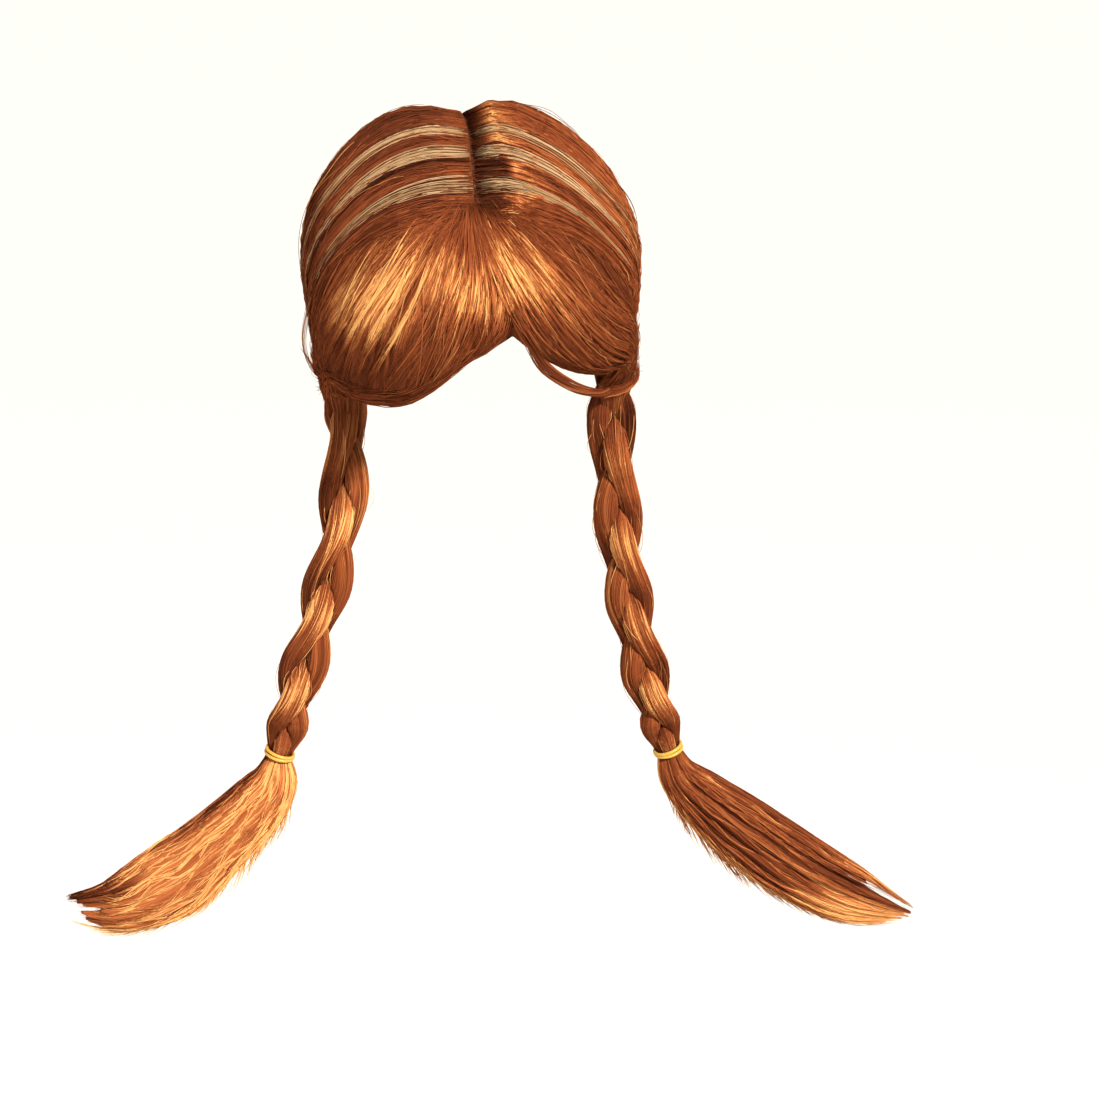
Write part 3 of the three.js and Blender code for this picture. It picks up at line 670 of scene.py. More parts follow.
    def build(self, name, material):
        mesh = bpy.data.meshes.new(name)
        points = np.concatenate(self.points) * MM
        mesh.vertices.add(len(points))
        mesh.vertices.foreach_set("co", points.astype(np.float32).ravel())
        sizes = np.concatenate([np.full(len(face), face.shape[1]) for face in self.faces])
        corners = np.concatenate([face.ravel() for face in self.faces])
        mesh.loops.add(len(corners))
        mesh.loops.foreach_set("vertex_index", corners.astype(np.int32))
        mesh.polygons.add(len(sizes))
        mesh.polygons.foreach_set("loop_start", np.concatenate([[0], np.cumsum(sizes)[:-1]]).astype(np.int32))
        mesh.polygons.foreach_set("use_smooth", np.ones(len(sizes), bool))
        mesh.update(calc_edges=True)
        spread = mesh.uv_layers.new(name="OFBake")
        spread.data.foreach_set("uv", np.concatenate([m.reshape(-1) for m in self.maps]).astype(np.float32))
        shade = mesh.attributes.new("shade", "FLOAT_VECTOR", "POINT")
        shade.data.foreach_set("vector", np.concatenate(self.shades).astype(np.float32).ravel())
        mesh.materials.append(material)
        piece = bpy.data.objects.new(name, mesh)
        bpy.context.scene.collection.objects.link(piece)
        return piece


def enclosed(points, faces):
    """Volume inside faces, below 0 where they are listed inside out."""
    total = 0.0
    for face in faces:
        for k in range(1, face.shape[1] - 1):
            a, b, c = (points[face[:, corner]] for corner in (0, k, k + 1))
            total += (a * np.cross(b, c)).sum()
    return total


def quads_of(ids):
    return np.stack([ids[:-1, :-1], ids[1:, :-1], ids[1:, 1:], ids[:-1, 1:]], axis=-1).reshape(-1, 4)


def strip_of(first, second):
    return np.stack([first[:-1], first[1:], second[1:], second[:-1]], axis=-1)


def fan_of(ids):
    return np.stack([np.full(len(ids) - 2, ids[0]), ids[2:], ids[1:-1]], axis=-1)


def corners_of(*spots):
    """Map corners of faces, from the places across and up of their first corners, then of the next."""
    places = np.broadcast_arrays(*(place_on_axis for spot in spots for place_on_axis in spot))
    return np.stack(places, -1).reshape(*places[0].shape, len(spots), 2)


def grid_map(n, m):
    dx, dy = 1 / (n - 1), 1 / (m - 1)
    x, y = np.meshgrid(dx * np.arange(n - 1), dy * np.arange(m - 1), indexing="ij")
    return corners_of((x, y), (x + dx, y), (x + dx, y + dy), (x, y + dy)).reshape(-1, 4, 2)


def line_map(count):
    x, dx, high = np.arange(count) / count, 1 / count, 0.9
    return corners_of((x, 0), (x + dx, 0), (x + dx, high), (x, high))


def fan_map(sides):
    angle = 2 * np.pi * np.arange(sides) / sides
    rim = 0.5 + 0.45 * np.stack([np.cos(angle), np.sin(angle)], -1)
    return np.stack([np.broadcast_to(rim[0], (sides - 2, 2)), rim[2:], rim[1:-1]], axis=1)


def split_box(box, shares, axis=0):
    """Cuts a map box into boxes side by side with small gaps."""
    low, high = np.array(box[0], float), np.array(box[1], float)
    edges = np.concatenate([[0], np.cumsum(shares)])
    boxes = []
    for a, b in zip(edges[:-1], edges[1:]):
        lo, hi = low.copy(), high.copy()
        lo[axis] = mix(low[axis], high[axis], a)
        hi[axis] = mix(low[axis], high[axis], b) - MAP_GAP
        boxes.append((lo, hi))
    return boxes


def place(corners, box):
    low, high = np.asarray(box[0]), np.asarray(box[1])
    return low + corners * (high - low)


# Materials

def set_inputs(node, values):
    for name, value in values.items():
        node.inputs[name].default_value = value
    return node


def shader(name, values):
    """A new material: its nodes, its links and its main shader with the settings that are alike all over."""
    material = bpy.data.materials.new(name)
    material.use_nodes = True
    nodes, links = material.node_tree.nodes, material.node_tree.links
    return material, nodes, links, set_inputs(nodes["Principled BSDF"], values)


def shade_coordinates(nodes, links, across, along):
    """Tone of a point, and a coordinate that runs slowly along the hair and fast across it."""
    shade = nodes.new("ShaderNodeAttribute")
    shade.attribute_name = "shade"
    parts = nodes.new("ShaderNodeSeparateXYZ")
    links.new(shade.outputs["Vector"], parts.inputs["Vector"])
    stretch = nodes.new("ShaderNodeVectorMath")
    stretch.operation = "MULTIPLY"
    stretch.inputs[1].default_value = (TONE_STRETCH, along, across)
    links.new(shade.outputs["Vector"], stretch.inputs[0])
    return parts.outputs["X"], stretch.outputs["Vector"]


def colour_ramp(nodes, stops):
    ramp = nodes.new("ShaderNodeValToRGB")
    elements = ramp.color_ramp.elements
    while len(elements) < len(stops):
        elements.new(0.5)
    for element, (place_on_ramp, colour) in zip(elements, stops):
        element.position = place_on_ramp
        element.color = (*colour, 1)
    return ramp


def hair_material(name, stops, streak):
    """Hair fibre: its colour runs along a ramp by tone, with fine streaks along the hair."""
    material, nodes, links, main = shader(name, {
        "Roughness": 0.65, "Specular IOR Level": 0.0, "Specular Tint": (1.0, 0.62, 0.3, 1)})
    tone, coordinate = shade_coordinates(nodes, links, across=260.0, along=3.0)
    noise = set_inputs(nodes.new("ShaderNodeTexNoise"), {"Scale": 1.0, "Detail": 2.0})
    links.new(coordinate, noise.inputs["Vector"])
    spread = set_inputs(nodes.new("ShaderNodeMapRange"), {
        "From Min": 0.25, "From Max": 0.75, "To Min": -streak, "To Max": streak})
    links.new(noise.outputs["Fac"], spread.inputs["Value"])
    total = nodes.new("ShaderNodeMath")
    total.operation = "ADD"
    total.use_clamp = True
    links.new(tone, total.inputs[0])
    links.new(spread.outputs["Result"], total.inputs[1])
    ramp = colour_ramp(nodes, stops)
    links.new(total.outputs["Value"], ramp.inputs["Fac"])
    links.new(ramp.outputs["Color"], main.inputs["Base Color"])
    relief = set_inputs(nodes.new("ShaderNodeBump"), {"Strength": 0.35, "Distance": RELIEF_DEPTH})
    links.new(noise.outputs["Fac"], relief.inputs["Height"])
    links.new(relief.outputs["Normal"], main.inputs["Normal"])
    return material


def net_material():
    """Dark stretch net: fine crossed threads."""
    material, nodes, links, main = shader("net", {
        "Roughness": 0.9, "Specular IOR Level": 0.05, "Specular Tint": (1, 0.8, 0.6, 1)})
    coordinate = nodes.new("ShaderNodeTexCoord")
    weave = set_inputs(nodes.new("ShaderNodeTexVoronoi"), {"Scale": 420.0})
    weave.feature = "DISTANCE_TO_EDGE"
    links.new(coordinate.outputs["Object"], weave.inputs["Vector"])
    ramp = colour_ramp(nodes, [(0.0, (0.13, 0.045, 0.02)), (0.12, (0.035, 0.012, 0.007))])
    links.new(weave.outputs["Distance"], ramp.inputs["Fac"])
    links.new(ramp.outputs["Color"], main.inputs["Base Color"])
    relief = set_inputs(nodes.new("ShaderNodeBump"), {"Strength": 0.5, "Distance": RELIEF_DEPTH})
    relief.invert = True
    links.new(weave.outputs["Distance"], relief.inputs["Height"])
    links.new(relief.outputs["Normal"], main.inputs["Normal"])
    return material


def elastic_material():
    """Golden yellow elastic with fine lengthwise threads."""
    material, nodes, links, main = shader("elastic", {
        "Roughness": 0.42, "Specular IOR Level": 0.5, "Specular Tint": (1.0, 0.9, 0.7, 1),
        "Sheen Weight": 0.15, "Sheen Roughness": 0.35, "Sheen Tint": (1.0, 0.8, 0.4, 1)})
    _, coordinate = shade_coordinates(nodes, links, across=26.0, along=60.0)
    noise = set_inputs(nodes.new("ShaderNodeTexNoise"), {"Scale": 1.0})
    links.new(coordinate, noise.inputs["Vector"])
    ramp = colour_ramp(nodes, [(0.3, (0.5, 0.22, 0.025)), (0.7, (0.78, 0.45, 0.08))])
    links.new(noise.outputs["Fac"], ramp.inputs["Fac"])
    links.new(ramp.outputs["Color"], main.inputs["Base Color"])
    return material


MATERIALS = {
    "hair": hair_material("hair", AUBURN, streak=0.14),
    "pale_hair": hair_material("pale_hair", BLOND, streak=0.16),
    "net": net_material(),
    "elastic": elastic_material(),
}


def finish_piece(hair, node, slot):
    """Builds the mesh that stands for a node, as a piece of the one body."""
    piece = hair.build(node + "_hair", MATERIALS[slot])
    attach(piece, "root")
    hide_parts(node)
    return piece


# Pieces

def fibre_set(kind):
    """How many fibres a kind of hair has, and the place of each of their points from root to tip."""
    count, points = FIBRES[kind]
    return count, np.linspace(0, 1, points)


def grid(kind, crowding=1.0):
    n, m = GRIDS[kind]
    return np.meshgrid(np.linspace(0, 1, n), np.linspace(0, 1, m) ** crowding, indexing="ij")


def shades_of(tone, along, across):
    return np.stack(np.broadcast_arrays(np.clip(tone, *TONE_LIMITS), along, across), axis=-1)


def strewn(rng, count):
    """Places spread evenly from 0 to 1, each moved a little."""
    return (np.arange(count) + rng.uniform(0, 1, count)) / count


def clumped(rng, places, clumps, pull):
    """Draws places towards the middles of small locks, and gives each place the number of its lock."""
    lock = np.clip((places * clumps).astype(int), 0, clumps - 1)
    middle = (np.arange(clumps) + rng.uniform(0.25, 0.75, clumps)) / clumps
    return places[:, None] + (middle[lock] - places)[:, None] * pull, lock


def tones_of(rng, lock, middle, by_lock=LOCK_TONE):
    """Tones round a middle that differ from lock to lock and from fibre to fibre."""
    tone = middle + by_lock * rng.standard_normal(lock.max() + 1)[lock]
    return tone + FIBRE_TONE * rng.standard_normal(len(lock))


def toned(rng, tone, form, count):
    """Tones of fibres that stray from the tone of their body by a change and a spread."""
    change, spread = form.tones
    return rng.normal(tone + change, spread, count)


def patches(rng, lock, middle, by_lock, by_fibre, limits):
    """How strongly each fibre shows the painted gleam, alike within a lock."""
    strength = rng.normal(middle, by_lock, lock.max() + 1)[lock] + rng.normal(0, by_fibre, len(lock))
    return np.clip(strength, *limits)[:, None]


def lay(hair, rng, paths, tones, box, places, size=FIBRE_RADIUS, out=None):
    """Lays fibres along paths. They face away from the head unless another way is given."""
    out = unit(paths - HEAD_CENTRE) if out is None else out
    hair.fibres(paths, out, rng.uniform(*size, len(paths)), tones, box, places)


def side_base(hair, side, seed, tone):
    root, along = grid("side", SIDE_BASE.crowding)
    along = along * SIDE_BASE.into_plait
    across = side_flow(side, root, along)
    narrowed = SIDE_BASE.narrowing * smooth_step(1, SIDE_BASE.into_plait, along)
    lift = side_lift(side, root, along, tufted=False) - SIDE_BASE.depth
    outer = side_point(side, across, along, lift, GATHER_RING.radius * (1 - narrowed))
    cap_lift = np.full_like(along, HAIR_BASE + SIDE_BASE.off_cap)
    inner = side_point(side, across, along, cap_lift, GATHER_RING.core)
    # The base is darker, as painted shade between the fibres, and carries the painted light and shade of the
    # side hair
    base = tone + BASE_PAINTED_SHADE + side_painted_light(side, root, along) + BLOTCH * waves(seed, 40, 1, root, along)
    hair.sheet_wall(outer, inner, shades_of(base, along, root), BODY_MAP)


def side_hair(side, seed, tone):
    rng = np.random.default_rng(seed)
    hair = Hair()
    side_base(hair, side, seed, tone)
    form, clumps = SIDE_HAIRS, TUFTS["count"]
    count, share = fibre_set("side")
    start = rng.uniform(0, form.start, count)
    end = 1 + rng.uniform(*form.into_plait, count)
    along = start[:, None] + (end - start)[:, None] * share ** form.crowding
    places = strewn(rng, count)
    root, lock = clumped(rng, places, clumps, mix(*form.pull, smooth_step(0, 0.2, share)))
    root = root + rng.normal(0, form.wander, count)[:, None] * 4 * share * (1 - share)
    depth = form.depth * rng.uniform(0, 1, count)[:, None] ** form.depth_power
    lock_rise = form.lock_rise * rng.standard_normal(clumps)[lock][:, None] * smooth_step(0, 0.3, share)
    lift = side_lift(side, root, along) - depth + lock_rise
    ring = GATHER_RING.radius * (1 - form.ring_depth * rng.uniform(0, 1, count))[:, None]
    paths = side_point(side, side_flow(side, root, along), along, lift, ring)
    by_lock, by_fibre = form.ragged
    ragged = along + (rng.normal(0, by_lock, clumps)[lock] + rng.normal(0, by_fibre, count))[:, None]
    # Fibre tones get the painted light and shade of the side hair
    tones = tones_of(rng, lock, tone)[:, None] + side_painted_light(side, root, ragged)
    lay(hair, rng, paths, tones, FIBRE_MAP, places)
    side_strays(hair, side, rng, tone)
    nape_edge(hair, side, rng, tone)
    finish_piece(hair, f"side_hair_{side}", "hair")


def stray_lines(rng, kind):
    """Draws of stray hairs: their places, their ways along, their ways across and their rise off the hair."""
    count, share = fibre_set(f"{kind}_stray")
    form = STRAYS[kind]
    places = strewn(rng, count)
    start = rng.uniform(*form.start, count)
    along = start[:, None] + rng.uniform(*form.length, count)[:, None] * share
    across = places[:, None] + rng.normal(0, form.wander, count)[:, None] * (share - form.steady_at)
    rise = form.off + rng.exponential(form.rise, count)[:, None] * np.sin(np.pi * share)
    return places, along, across, rise


def lay_strays(hair, rng, kind, tone, paths, places):
    lay(hair, rng, paths, toned(rng, tone, STRAYS[kind], len(places)), STRAY_MAP, places, STRAY_RADIUS)


def side_strays(hair, side, rng, tone):
    """Fine single hairs that lift off the combed side."""
    places, along, root, rise = stray_lines(rng, "side")
    root = np.minimum(root, STRAYS["side"].nape_limit)
    paths = side_point(side, side_flow(side, root, along), along, side_lift(side, root, along) + rise)
    lay_strays(hair, rng, "side", tone, paths, places)


def nape_edge(hair, side, rng, tone):
    """Hairs that close the lower edge of the side hair at the nape, from the cap out to its face."""
    count, share = fibre_set("nape")
    places = strewn(rng, count)
    depth = places[:, None]
    along = rng.uniform(0, NAPE.start, count)[:, None] + NAPE.reach * share
    root = 1 - np.abs(rng.normal(0, NAPE.wander, count))[:, None] + 0 * share
    lift = mix(HAIR_BASE, side_lift(side, root, along), depth)
    paths = side_point(side, root, along, lift, GATHER_RING.radius * mix(NAPE.core, 1, depth))
    tones = toned(rng, tone, NAPE, count)
    lay(hair, rng, paths, tones, SWEEP_MAP, places, NAPE.radius, np.array([0.0, 0.0, -1.0]))


def fringe_flow(side, fan, share):
    """Where a hair of the fringe lies, across and root to tip: it fans out from the end of the parting.

    A fan of 0 falls beside the middle of the forehead. A fan of 1 follows the side hair round to the temple.
    """
    weights = [(1 - share) ** 3, 3 * (1 - share) ** 2 * share, 3 * (1 - share) * share**2, share**3]
    low, half, high = (1 - fan) * (1 - 2 * fan), 4 * fan * (1 - fan), fan * (2 * fan - 1)

    def on_curve(rows):
        return sum(weight * (low * a + half * b + high * c) for weight, a, b, c in zip(weights, *rows))

    return on_curve(FRINGE_FAN[side]["across"]), np.clip(on_curve(FRINGE_FAN[side]["along"]), 0, 1)


def fringe_painted_light(side, across, along):
    """Painted light over the fringe: a gold painted highlight on its swell, and painted shade in the fold
    over its curled lower edge.
    """
    table = FRINGE_PAINTED_GLEAM[side]
    start, end, height = (np.interp(across, table["across"], table[key]) for key in ("from", "to", "height"))
    begun = smooth_step(start - PAINTED_GLEAM_EDGE, start + PAINTED_GLEAM_EDGE, along)
    painted_gleam = height * begun * (1 - smooth_step(end - PAINTED_GLEAM_EDGE, end + PAINTED_GLEAM_EDGE, along))
    fold_shade = smooth_step(0.74, 0.84, along) * (1 - smooth_step(0.88, 0.95, along))
    return painted_gleam - FRINGE_FOLD_PAINTED_SHADE[side] * smooth_step(0.45, 0.6, across) * fold_shade


def fringe_base(hair, side, seed, tone):
    across, along = grid("fringe")
    level = np.ones_like(across)
    inner = fringe_point(side, across, along, level * (HAIR_BASE + FRINGE_FORM.off_cap),
                         level * -FRINGE_FORM.mid_wall, level * -FRINGE_FORM.tip_wall)
    outer = fringe_skin(side, across, along * FRINGE_FORM.base_reach, FRINGE_FORM.base_depth)
    # The base is darker, as painted shade between the fibres
    base = tone + BASE_PAINTED_SHADE + BLOTCH * waves(seed, 20, 1, across, along)
    # The base carries a share of the painted highlight and painted shade as well
    base = base + FRINGE_FORM.base_gleam * fringe_painted_light(side, across, along)
    hair.sheet_wall(outer, inner, shades_of(base, along, across), BODY_MAP)


def fringe(side, seed, tone):
    rng = np.random.default_rng(seed)
    hair = Hair()
    fringe_base(hair, side, seed, tone)
    form, clumps = FRINGE_HAIRS, FRINGE_HAIRS.clumps
    count, share = fibre_set(f"fringe_{side}")
    places = strewn(rng, count)
    pull = form.pull * smooth_step(0.1, 0.7, share)
    fan, lock = clumped(rng, places ** form.crowding, clumps, pull)
    sway = rng.normal(0, form.sway, clumps)[lock][:, None]
    sway = sway * np.sin(2 * np.pi * form.sway_waves * share + lock[:, None])
    fan = fan + sway * share + rng.normal(0, form.wander, count)[:, None] * (share - 0.25)
    short = rng.uniform(0, 1, count) < form.short
    end = np.where(short, rng.uniform(form.shortest, 1, count), 1.0)
    reach = end[:, None] * share
    across, along = fringe_flow(side, fan, reach)
    depth = rng.uniform(0, 1, count)[:, None] ** form.depth_power
    lock_depth = form.lock_depth * rng.standard_normal(clumps)[lock][:, None]
    depth = depth + lock_depth * smooth_step(0, 0.4, share)
    lip = smooth_step(0.85, 1, along) * (1 - smooth_step(0.3, 0.5, across))
    depth = depth + FRINGE_FORM.lip * rng.uniform(0, 1, count)[:, None] * lip
    tuck = form.tuck + form.tuck_more * rng.uniform(0, 1, count)[:, None] ** 4
    over = form.over * smooth_step(0.006, 0.02, tuck) * (1 - smooth_step(0, 0.3, share))
    paths = fringe_skin(side, across, along, depth - over, tuck)
    under = FRINGE_FORM.under * smooth_step(0.88, 1, reach)
    paths = paths + unit(GATHER[side] - paths) * under[..., None]
    tied = plait_spot(side, form.tied_at) + rng.normal(0, form.tied_scatter, (count, 1, 3))
    drawn_in = form.tied_share * smooth_step(0.7, 1, across) * smooth_step(0.55, 1, reach)
    paths = mix(paths, tied, drawn_in[..., None])
    by_lock, by_fibre = form.ragged
    ragged = along + (rng.normal(0, by_lock, clumps)[lock] + rng.normal(0, by_fibre, count))[:, None]
    gleam_strength = patches(rng, lock, *form.patches)
    even = mix(form.root_evenness, 1, smooth_step(0, 0.4, reach))
    # Fibre tones get the painted highlight, in patches by lock, and the painted fold shade
    tones = tone + even * tones_of(rng, lock, 0.0)[:, None] + gleam_strength * fringe_painted_light(side, across, ragged)
    lay(hair, rng, paths, tones, FIBRE_MAP, places)
    fringe_sweep(hair, side, rng, tone)
    fringe_tie(hair, side, rng, tone)
    fringe_strays(hair, side, rng, tone)
    if side == "right":
        temple_hairs(hair, rng, tone)
    finish_piece(hair, f"fringe_{side}", "hair")


def plait_spot(side, offset):
    """A point at the top of a plait, offset outward, to the back and up."""
    return GATHER[side] + np.array(offset) * np.array([SIGN[side], 1.0, 1.0])


def fringe_sweep(hair, side, rng, tone):
    """Hairs that run along the lower edge of the fringe and back into the plait."""
    count, share = fibre_set(f"sweep_{side}")
    form = SWEEP
    places = strewn(rng, count)
    across = mix(mix(*form.start, places)[:, None], 1.0, share)
    along = mix(rng.uniform(form.height, 1.0, count)[:, None], 1.0, share)
    depth = mix(form.root_depth, rng.uniform(*form.depth, count)[:, None], smooth_step(0, 0.3, share))
    paths = fringe_skin(side, across, along, depth)
    target = plait_spot(side, form.end[side]) + rng.normal(0, form.scatter[side], (count, 1, 3))
    paths = mix(paths, target, smooth_step(0.62, 1.0, share)[:, None])
    lay(hair, rng, paths, toned(rng, tone, form, count), SWEEP_MAP, places)


def fringe_tie(hair, side, rng, tone):
    """Hairs that draw the rear end of the fringe in to the top of the plait."""
    count, share = fibre_set("fringe_tie")
    form, t = FRINGE_TIE, share[:, None]
    places = strewn(rng, count)
    start = fringe_skin(side, rng.uniform(*form.start, count), mix(*form.height, places),
                        rng.uniform(*form.depth, count))
    edge = fringe_skin(side, np.ones(count), mix(*form.edge_height, places), rng.uniform(-1, 0, count))
    turn = np.radians(mix(*form.turn, places) + rng.normal(0, form.turn_scatter, count))
    rise = rng.uniform(-form.rise, form.rise, count)
    ring = np.stack([SIGN[side] * np.cos(turn), np.sin(turn), rise], axis=-1)
    start, edge, end = (spots[:, None] for spots in (start, edge, GATHER[side] + form.radius * ring))
    paths = (1 - t) ** 2 * start + 2 * t * (1 - t) * edge + t**2 * end
    lay(hair, rng, paths, toned(rng, tone, form, count), TIE_MAP, places)


def fringe_strays(hair, side, rng, tone):
    """Fine single hairs that cross the fringe at small angles."""
    places, reach, fan, rise = stray_lines(rng, "fringe")
    across, along = fringe_flow(side, fan, reach)
    lay_strays(hair, rng, "fringe", tone, fringe_skin(side, across, along, -rise), places)


def temple_hairs(hair, rng, tone):
    """A loose wisp that flicks outward from the top of the plait, and single hairs that bow out above it."""
    paths, outs = [], []
    for kind, form in TEMPLE_HAIRS.items():
        count, share = fibre_set(kind)
        ends = share * rng.uniform(TEMPLE.shortest, 1, count)[:, None]
        centre, tangent = along_curve(form.line, ends)
        angle = 2 * np.pi * strewn(rng, count)[:, None] + TEMPLE.twist * share
        sideways = unit(np.cross(tangent, BACKWARD))
        spread = rng.uniform(TEMPLE.inside, 1, count)[:, None] * mix(*form.radius, share)
        out = sideways * np.cos(angle)[..., None] + BACKWARD * np.sin(angle)[..., None]
        paths.append(centre + out * spread[..., None])
        outs.append(out)
    paths, outs = np.concatenate(paths), np.concatenate(outs)
    tones = toned(rng, tone, TEMPLE, len(paths))
    radius = rng.uniform(*STRAY_RADIUS, len(paths))
    hair.fibres(paths, outs, radius, tones, WISP_MAP, strewn(rng, len(paths)))


def highlight(side, number, seed):
    rng = np.random.default_rng(seed)
    hair = Hair()
    form = HIGHLIGHTS
    count, share = fibre_set("highlight")
    places = strewn(rng, count)
    start = rng.uniform(0, form.start, count)
    end = form.to + rng.uniform(*form.uneven, count)
    along = start[:, None] + (end - start)[:, None] * share
    spread = np.clip(rng.normal(0, form.spread, count), -form.most, form.most)[:, None]
    root = form.places[number] + form.half_width * spread * mix(1.0, form.narrowing, share)
    lift = side_lift(side, root, along) + rng.uniform(*form.rise, count)[:, None]
    paths = side_point(side, side_flow(side, root, along), along, lift)
    lay(hair, rng, paths, toned(rng, 0.0, form, count), FIBRE_MAP, places)
    finish_piece(hair, f"highlight_{side}_{number + 1}", "pale_hair")


def painted_gleam_of(phase):
    """Painted gleam on a strand where it comes out over the other two towards the outer side."""
    turned = np.mod(phase + 60, 360) - 60
    start, end = PLAIT_PAINTED_GLEAM.start, PLAIT_PAINTED_GLEAM.end
    begun = smooth_step(start - PLAIT_PAINTED_GLEAM.rise, start, turned)
    return begun * (1 - smooth_step(end, end + PLAIT_PAINTED_GLEAM.fall, turned))


def plait_strand(side, strand, seed, tone):
    rng = np.random.default_rng(seed)
    hair = Hair()
    rows, sides = GRIDS["strand"]
    share, turn = np.meshgrid(np.linspace(0, 1, rows), np.arange(sides) / sides, indexing="ij")
    rings, _ = strand_point(side, strand, share, 2 * np.pi * turn, np.full_like(share, -STRAND.base_depth))
    # The base is darker, as painted shade between the fibres
    base = tone + BASE_PAINTED_SHADE + BLOTCH * waves(seed, 20, 1, turn, share)
    hair.tube(rings, shades_of(base, share, turn), BODY_MAP)
    count, share = fibre_set("strand")
    along = np.broadcast_to(share, (count, len(share)))
    around = strewn(rng, count)
    drift = STRAND.drift * waves(seed + 1, 3, 3, around[:, None], along)
    swell = rng.uniform(*STRAND.swell, count)[:, None]
    swell = swell + STRAND.relief * waves(seed + 2, 9, 5, around[:, None], along)
    paths, out = strand_point(side, strand, along, 2 * np.pi * (around[:, None] + drift), swell)
    lock = (around * STRAND.locks).astype(int)
    phase = strand_phase(side, strand, along)
    ragged = phase + rng.normal(0, PLAIT_PAINTED_GLEAM.ragged, count)[:, None]
    gleam_strength = patches(rng, lock, *PLAIT_PAINTED_GLEAM.patches)
    # Painted gleam where the strand comes out on top
    painted_gleam = PLAIT_PAINTED_GLEAM.height * gleam_strength * painted_gleam_of(ragged) * smooth_step(0.1, 0.26, along)
    # Painted shade where the strand dips under the other two
    behind = np.sin(2 * np.radians(phase))
    valley = PLAIT_PAINTED_GLEAM.valley * (1 - smooth_step(-0.8, 0.1, behind))
    # Painted light at the top of the right plait and painted shade at the top of the left
    top = PLAIT_TOP_PAINTED_LIGHT[side] * (1 - smooth_step(0.1, 0.28, along))
    tones = tones_of(rng, lock, tone)[:, None] + painted_gleam - valley + top
    lay(hair, rng, paths, tones, FIBRE_MAP, around, PLAIT_RADIUS, out)
    plait_strays(hair, side, strand, rng, tone)
    finish_piece(hair, f"plait_{side}_strand_{strand + 1}", "hair")


def plait_strays(hair, side, strand, rng, tone):
    """Short golden hairs that stand off a strand."""
    count, share = fibre_set("strand_stray")
    form = STRAYS["strand"]
    places = strewn(rng, count)
    along = mix(*form.start, places)[:, None] + rng.uniform(*form.length, count)[:, None] * share
    around = rng.uniform(0, 1, count)[:, None] + rng.normal(0, form.wander, count)[:, None] * share
    swell = form.off + rng.exponential(form.rise, count)[:, None] * np.sin(np.pi * share)
    paths, out = strand_point(side, strand, along, 2 * np.pi * around, swell)
    lay(hair, rng, paths, toned(rng, tone, form, count), STRAY_MAP, places, STRAY_RADIUS, out)


def tail_reach(side, place_across):
    """How far down a loose end its hairs reach, from the upper edge at 0 to the lower edge at 1."""
    return np.interp(place_across, TAIL_ENDS[side]["across"], TAIL_ENDS[side]["reach"])


def tail_locks(rng):
    """Edges of the locks that a loose end parts into, from 0 to 1."""
    count = TAIL_LOCKS.count
    return (np.arange(count + 1) + np.pad(rng.uniform(-0.3, 0.3, count - 1), 1)) / count


def tail_core(side, place_across):
    """How far the solid core of a loose end reaches, with a ragged end."""
    share = np.interp(place_across, TAIL_ENDS[side]["across"], TAIL_ENDS[side]["core"])
    ragged = TAIL_LOCKS.ragged * waves(52, 14, 0, place_across, 0.0)
    return tail_reach(side, place_across) * (share + ragged)


def tail_streaks_and_painted_light(side, low, far):
    """Change of tone by the places below a loose end's upper edge and from its tie: on the right, dark
    streaks on the upper edge, darker tips and a darker lower part; on the left, gold painted light on the
    lower edge and tip, gold far out on the upper edge, and a little darker near the tie.
    """
    if side == "right":
        edge = -0.5 * (1 - smooth_step(0.1, 0.26, low)) * (1 - smooth_step(0.45, 0.7, far))
        tips = -0.5 * smooth_step(0.7, 0.84, far) * (1 - smooth_step(0.34, 0.46, low))
        low_end = -0.15 * smooth_step(0.5, 0.75, far) * smooth_step(0.5, 0.8, low)
        return edge + tips + low_end + 0.04 - 0.14 * smooth_step(0.76, 0.96, far)
    # Painted light: gold on the lower edge and tip of the left end, which face away from the light
    fray = 0.45 * smooth_step(0.8, 0.98, low)
    tip = 0.56 * smooth_step(0.62, 0.84, far) * smooth_step(0.34, 0.62, low)
    split = 0.4 * smooth_step(0.66, 0.8, far) * (1 - smooth_step(0.08, 0.2, low))
    return np.maximum(np.maximum(fray, tip), split) - 0.06 * (1 - smooth_step(0.0, 0.2, far))


def tail_point(side, place_across, along, face, rise):
    """A point on a loose end's front face at 1 or back face at -1, raised off it, and the way out of it."""
    centre, sideways, front, half_width, half_thick = tail_axes(side, along)
    angle = np.pi * (place_across - 0.5)
    spread = half_width * np.where(np.abs(angle) < np.pi / 2, np.sin(angle), angle * 2 / np.pi)
    groove = TAIL_LOCKS.height * waves(51, 9, 1.5, place_across, along) * smooth_step(0.05, 0.3, along)
    full = mix(1, TAIL_LOCKS.tip_fullness, smooth_step(0.7, 1, along))
    thick = TAIL_LOCKS.edge + full * (half_thick + groove - 1) * np.clip(np.cos(angle), 0, 1) + rise
    downward = sideways * -SIGN[side]
    point = centre + downward * spread[..., None] + front * (face * thick)[..., None]
    return point, front * (face * np.ones_like(along))[..., None]


def either_face(rng, count):
    """The front face of a loose end for most fibres, and its back face for the rest."""
    return np.where(rng.uniform(0, 1, count) < TAIL_LOCKS.in_front, 1.0, -1.0)[:, None]


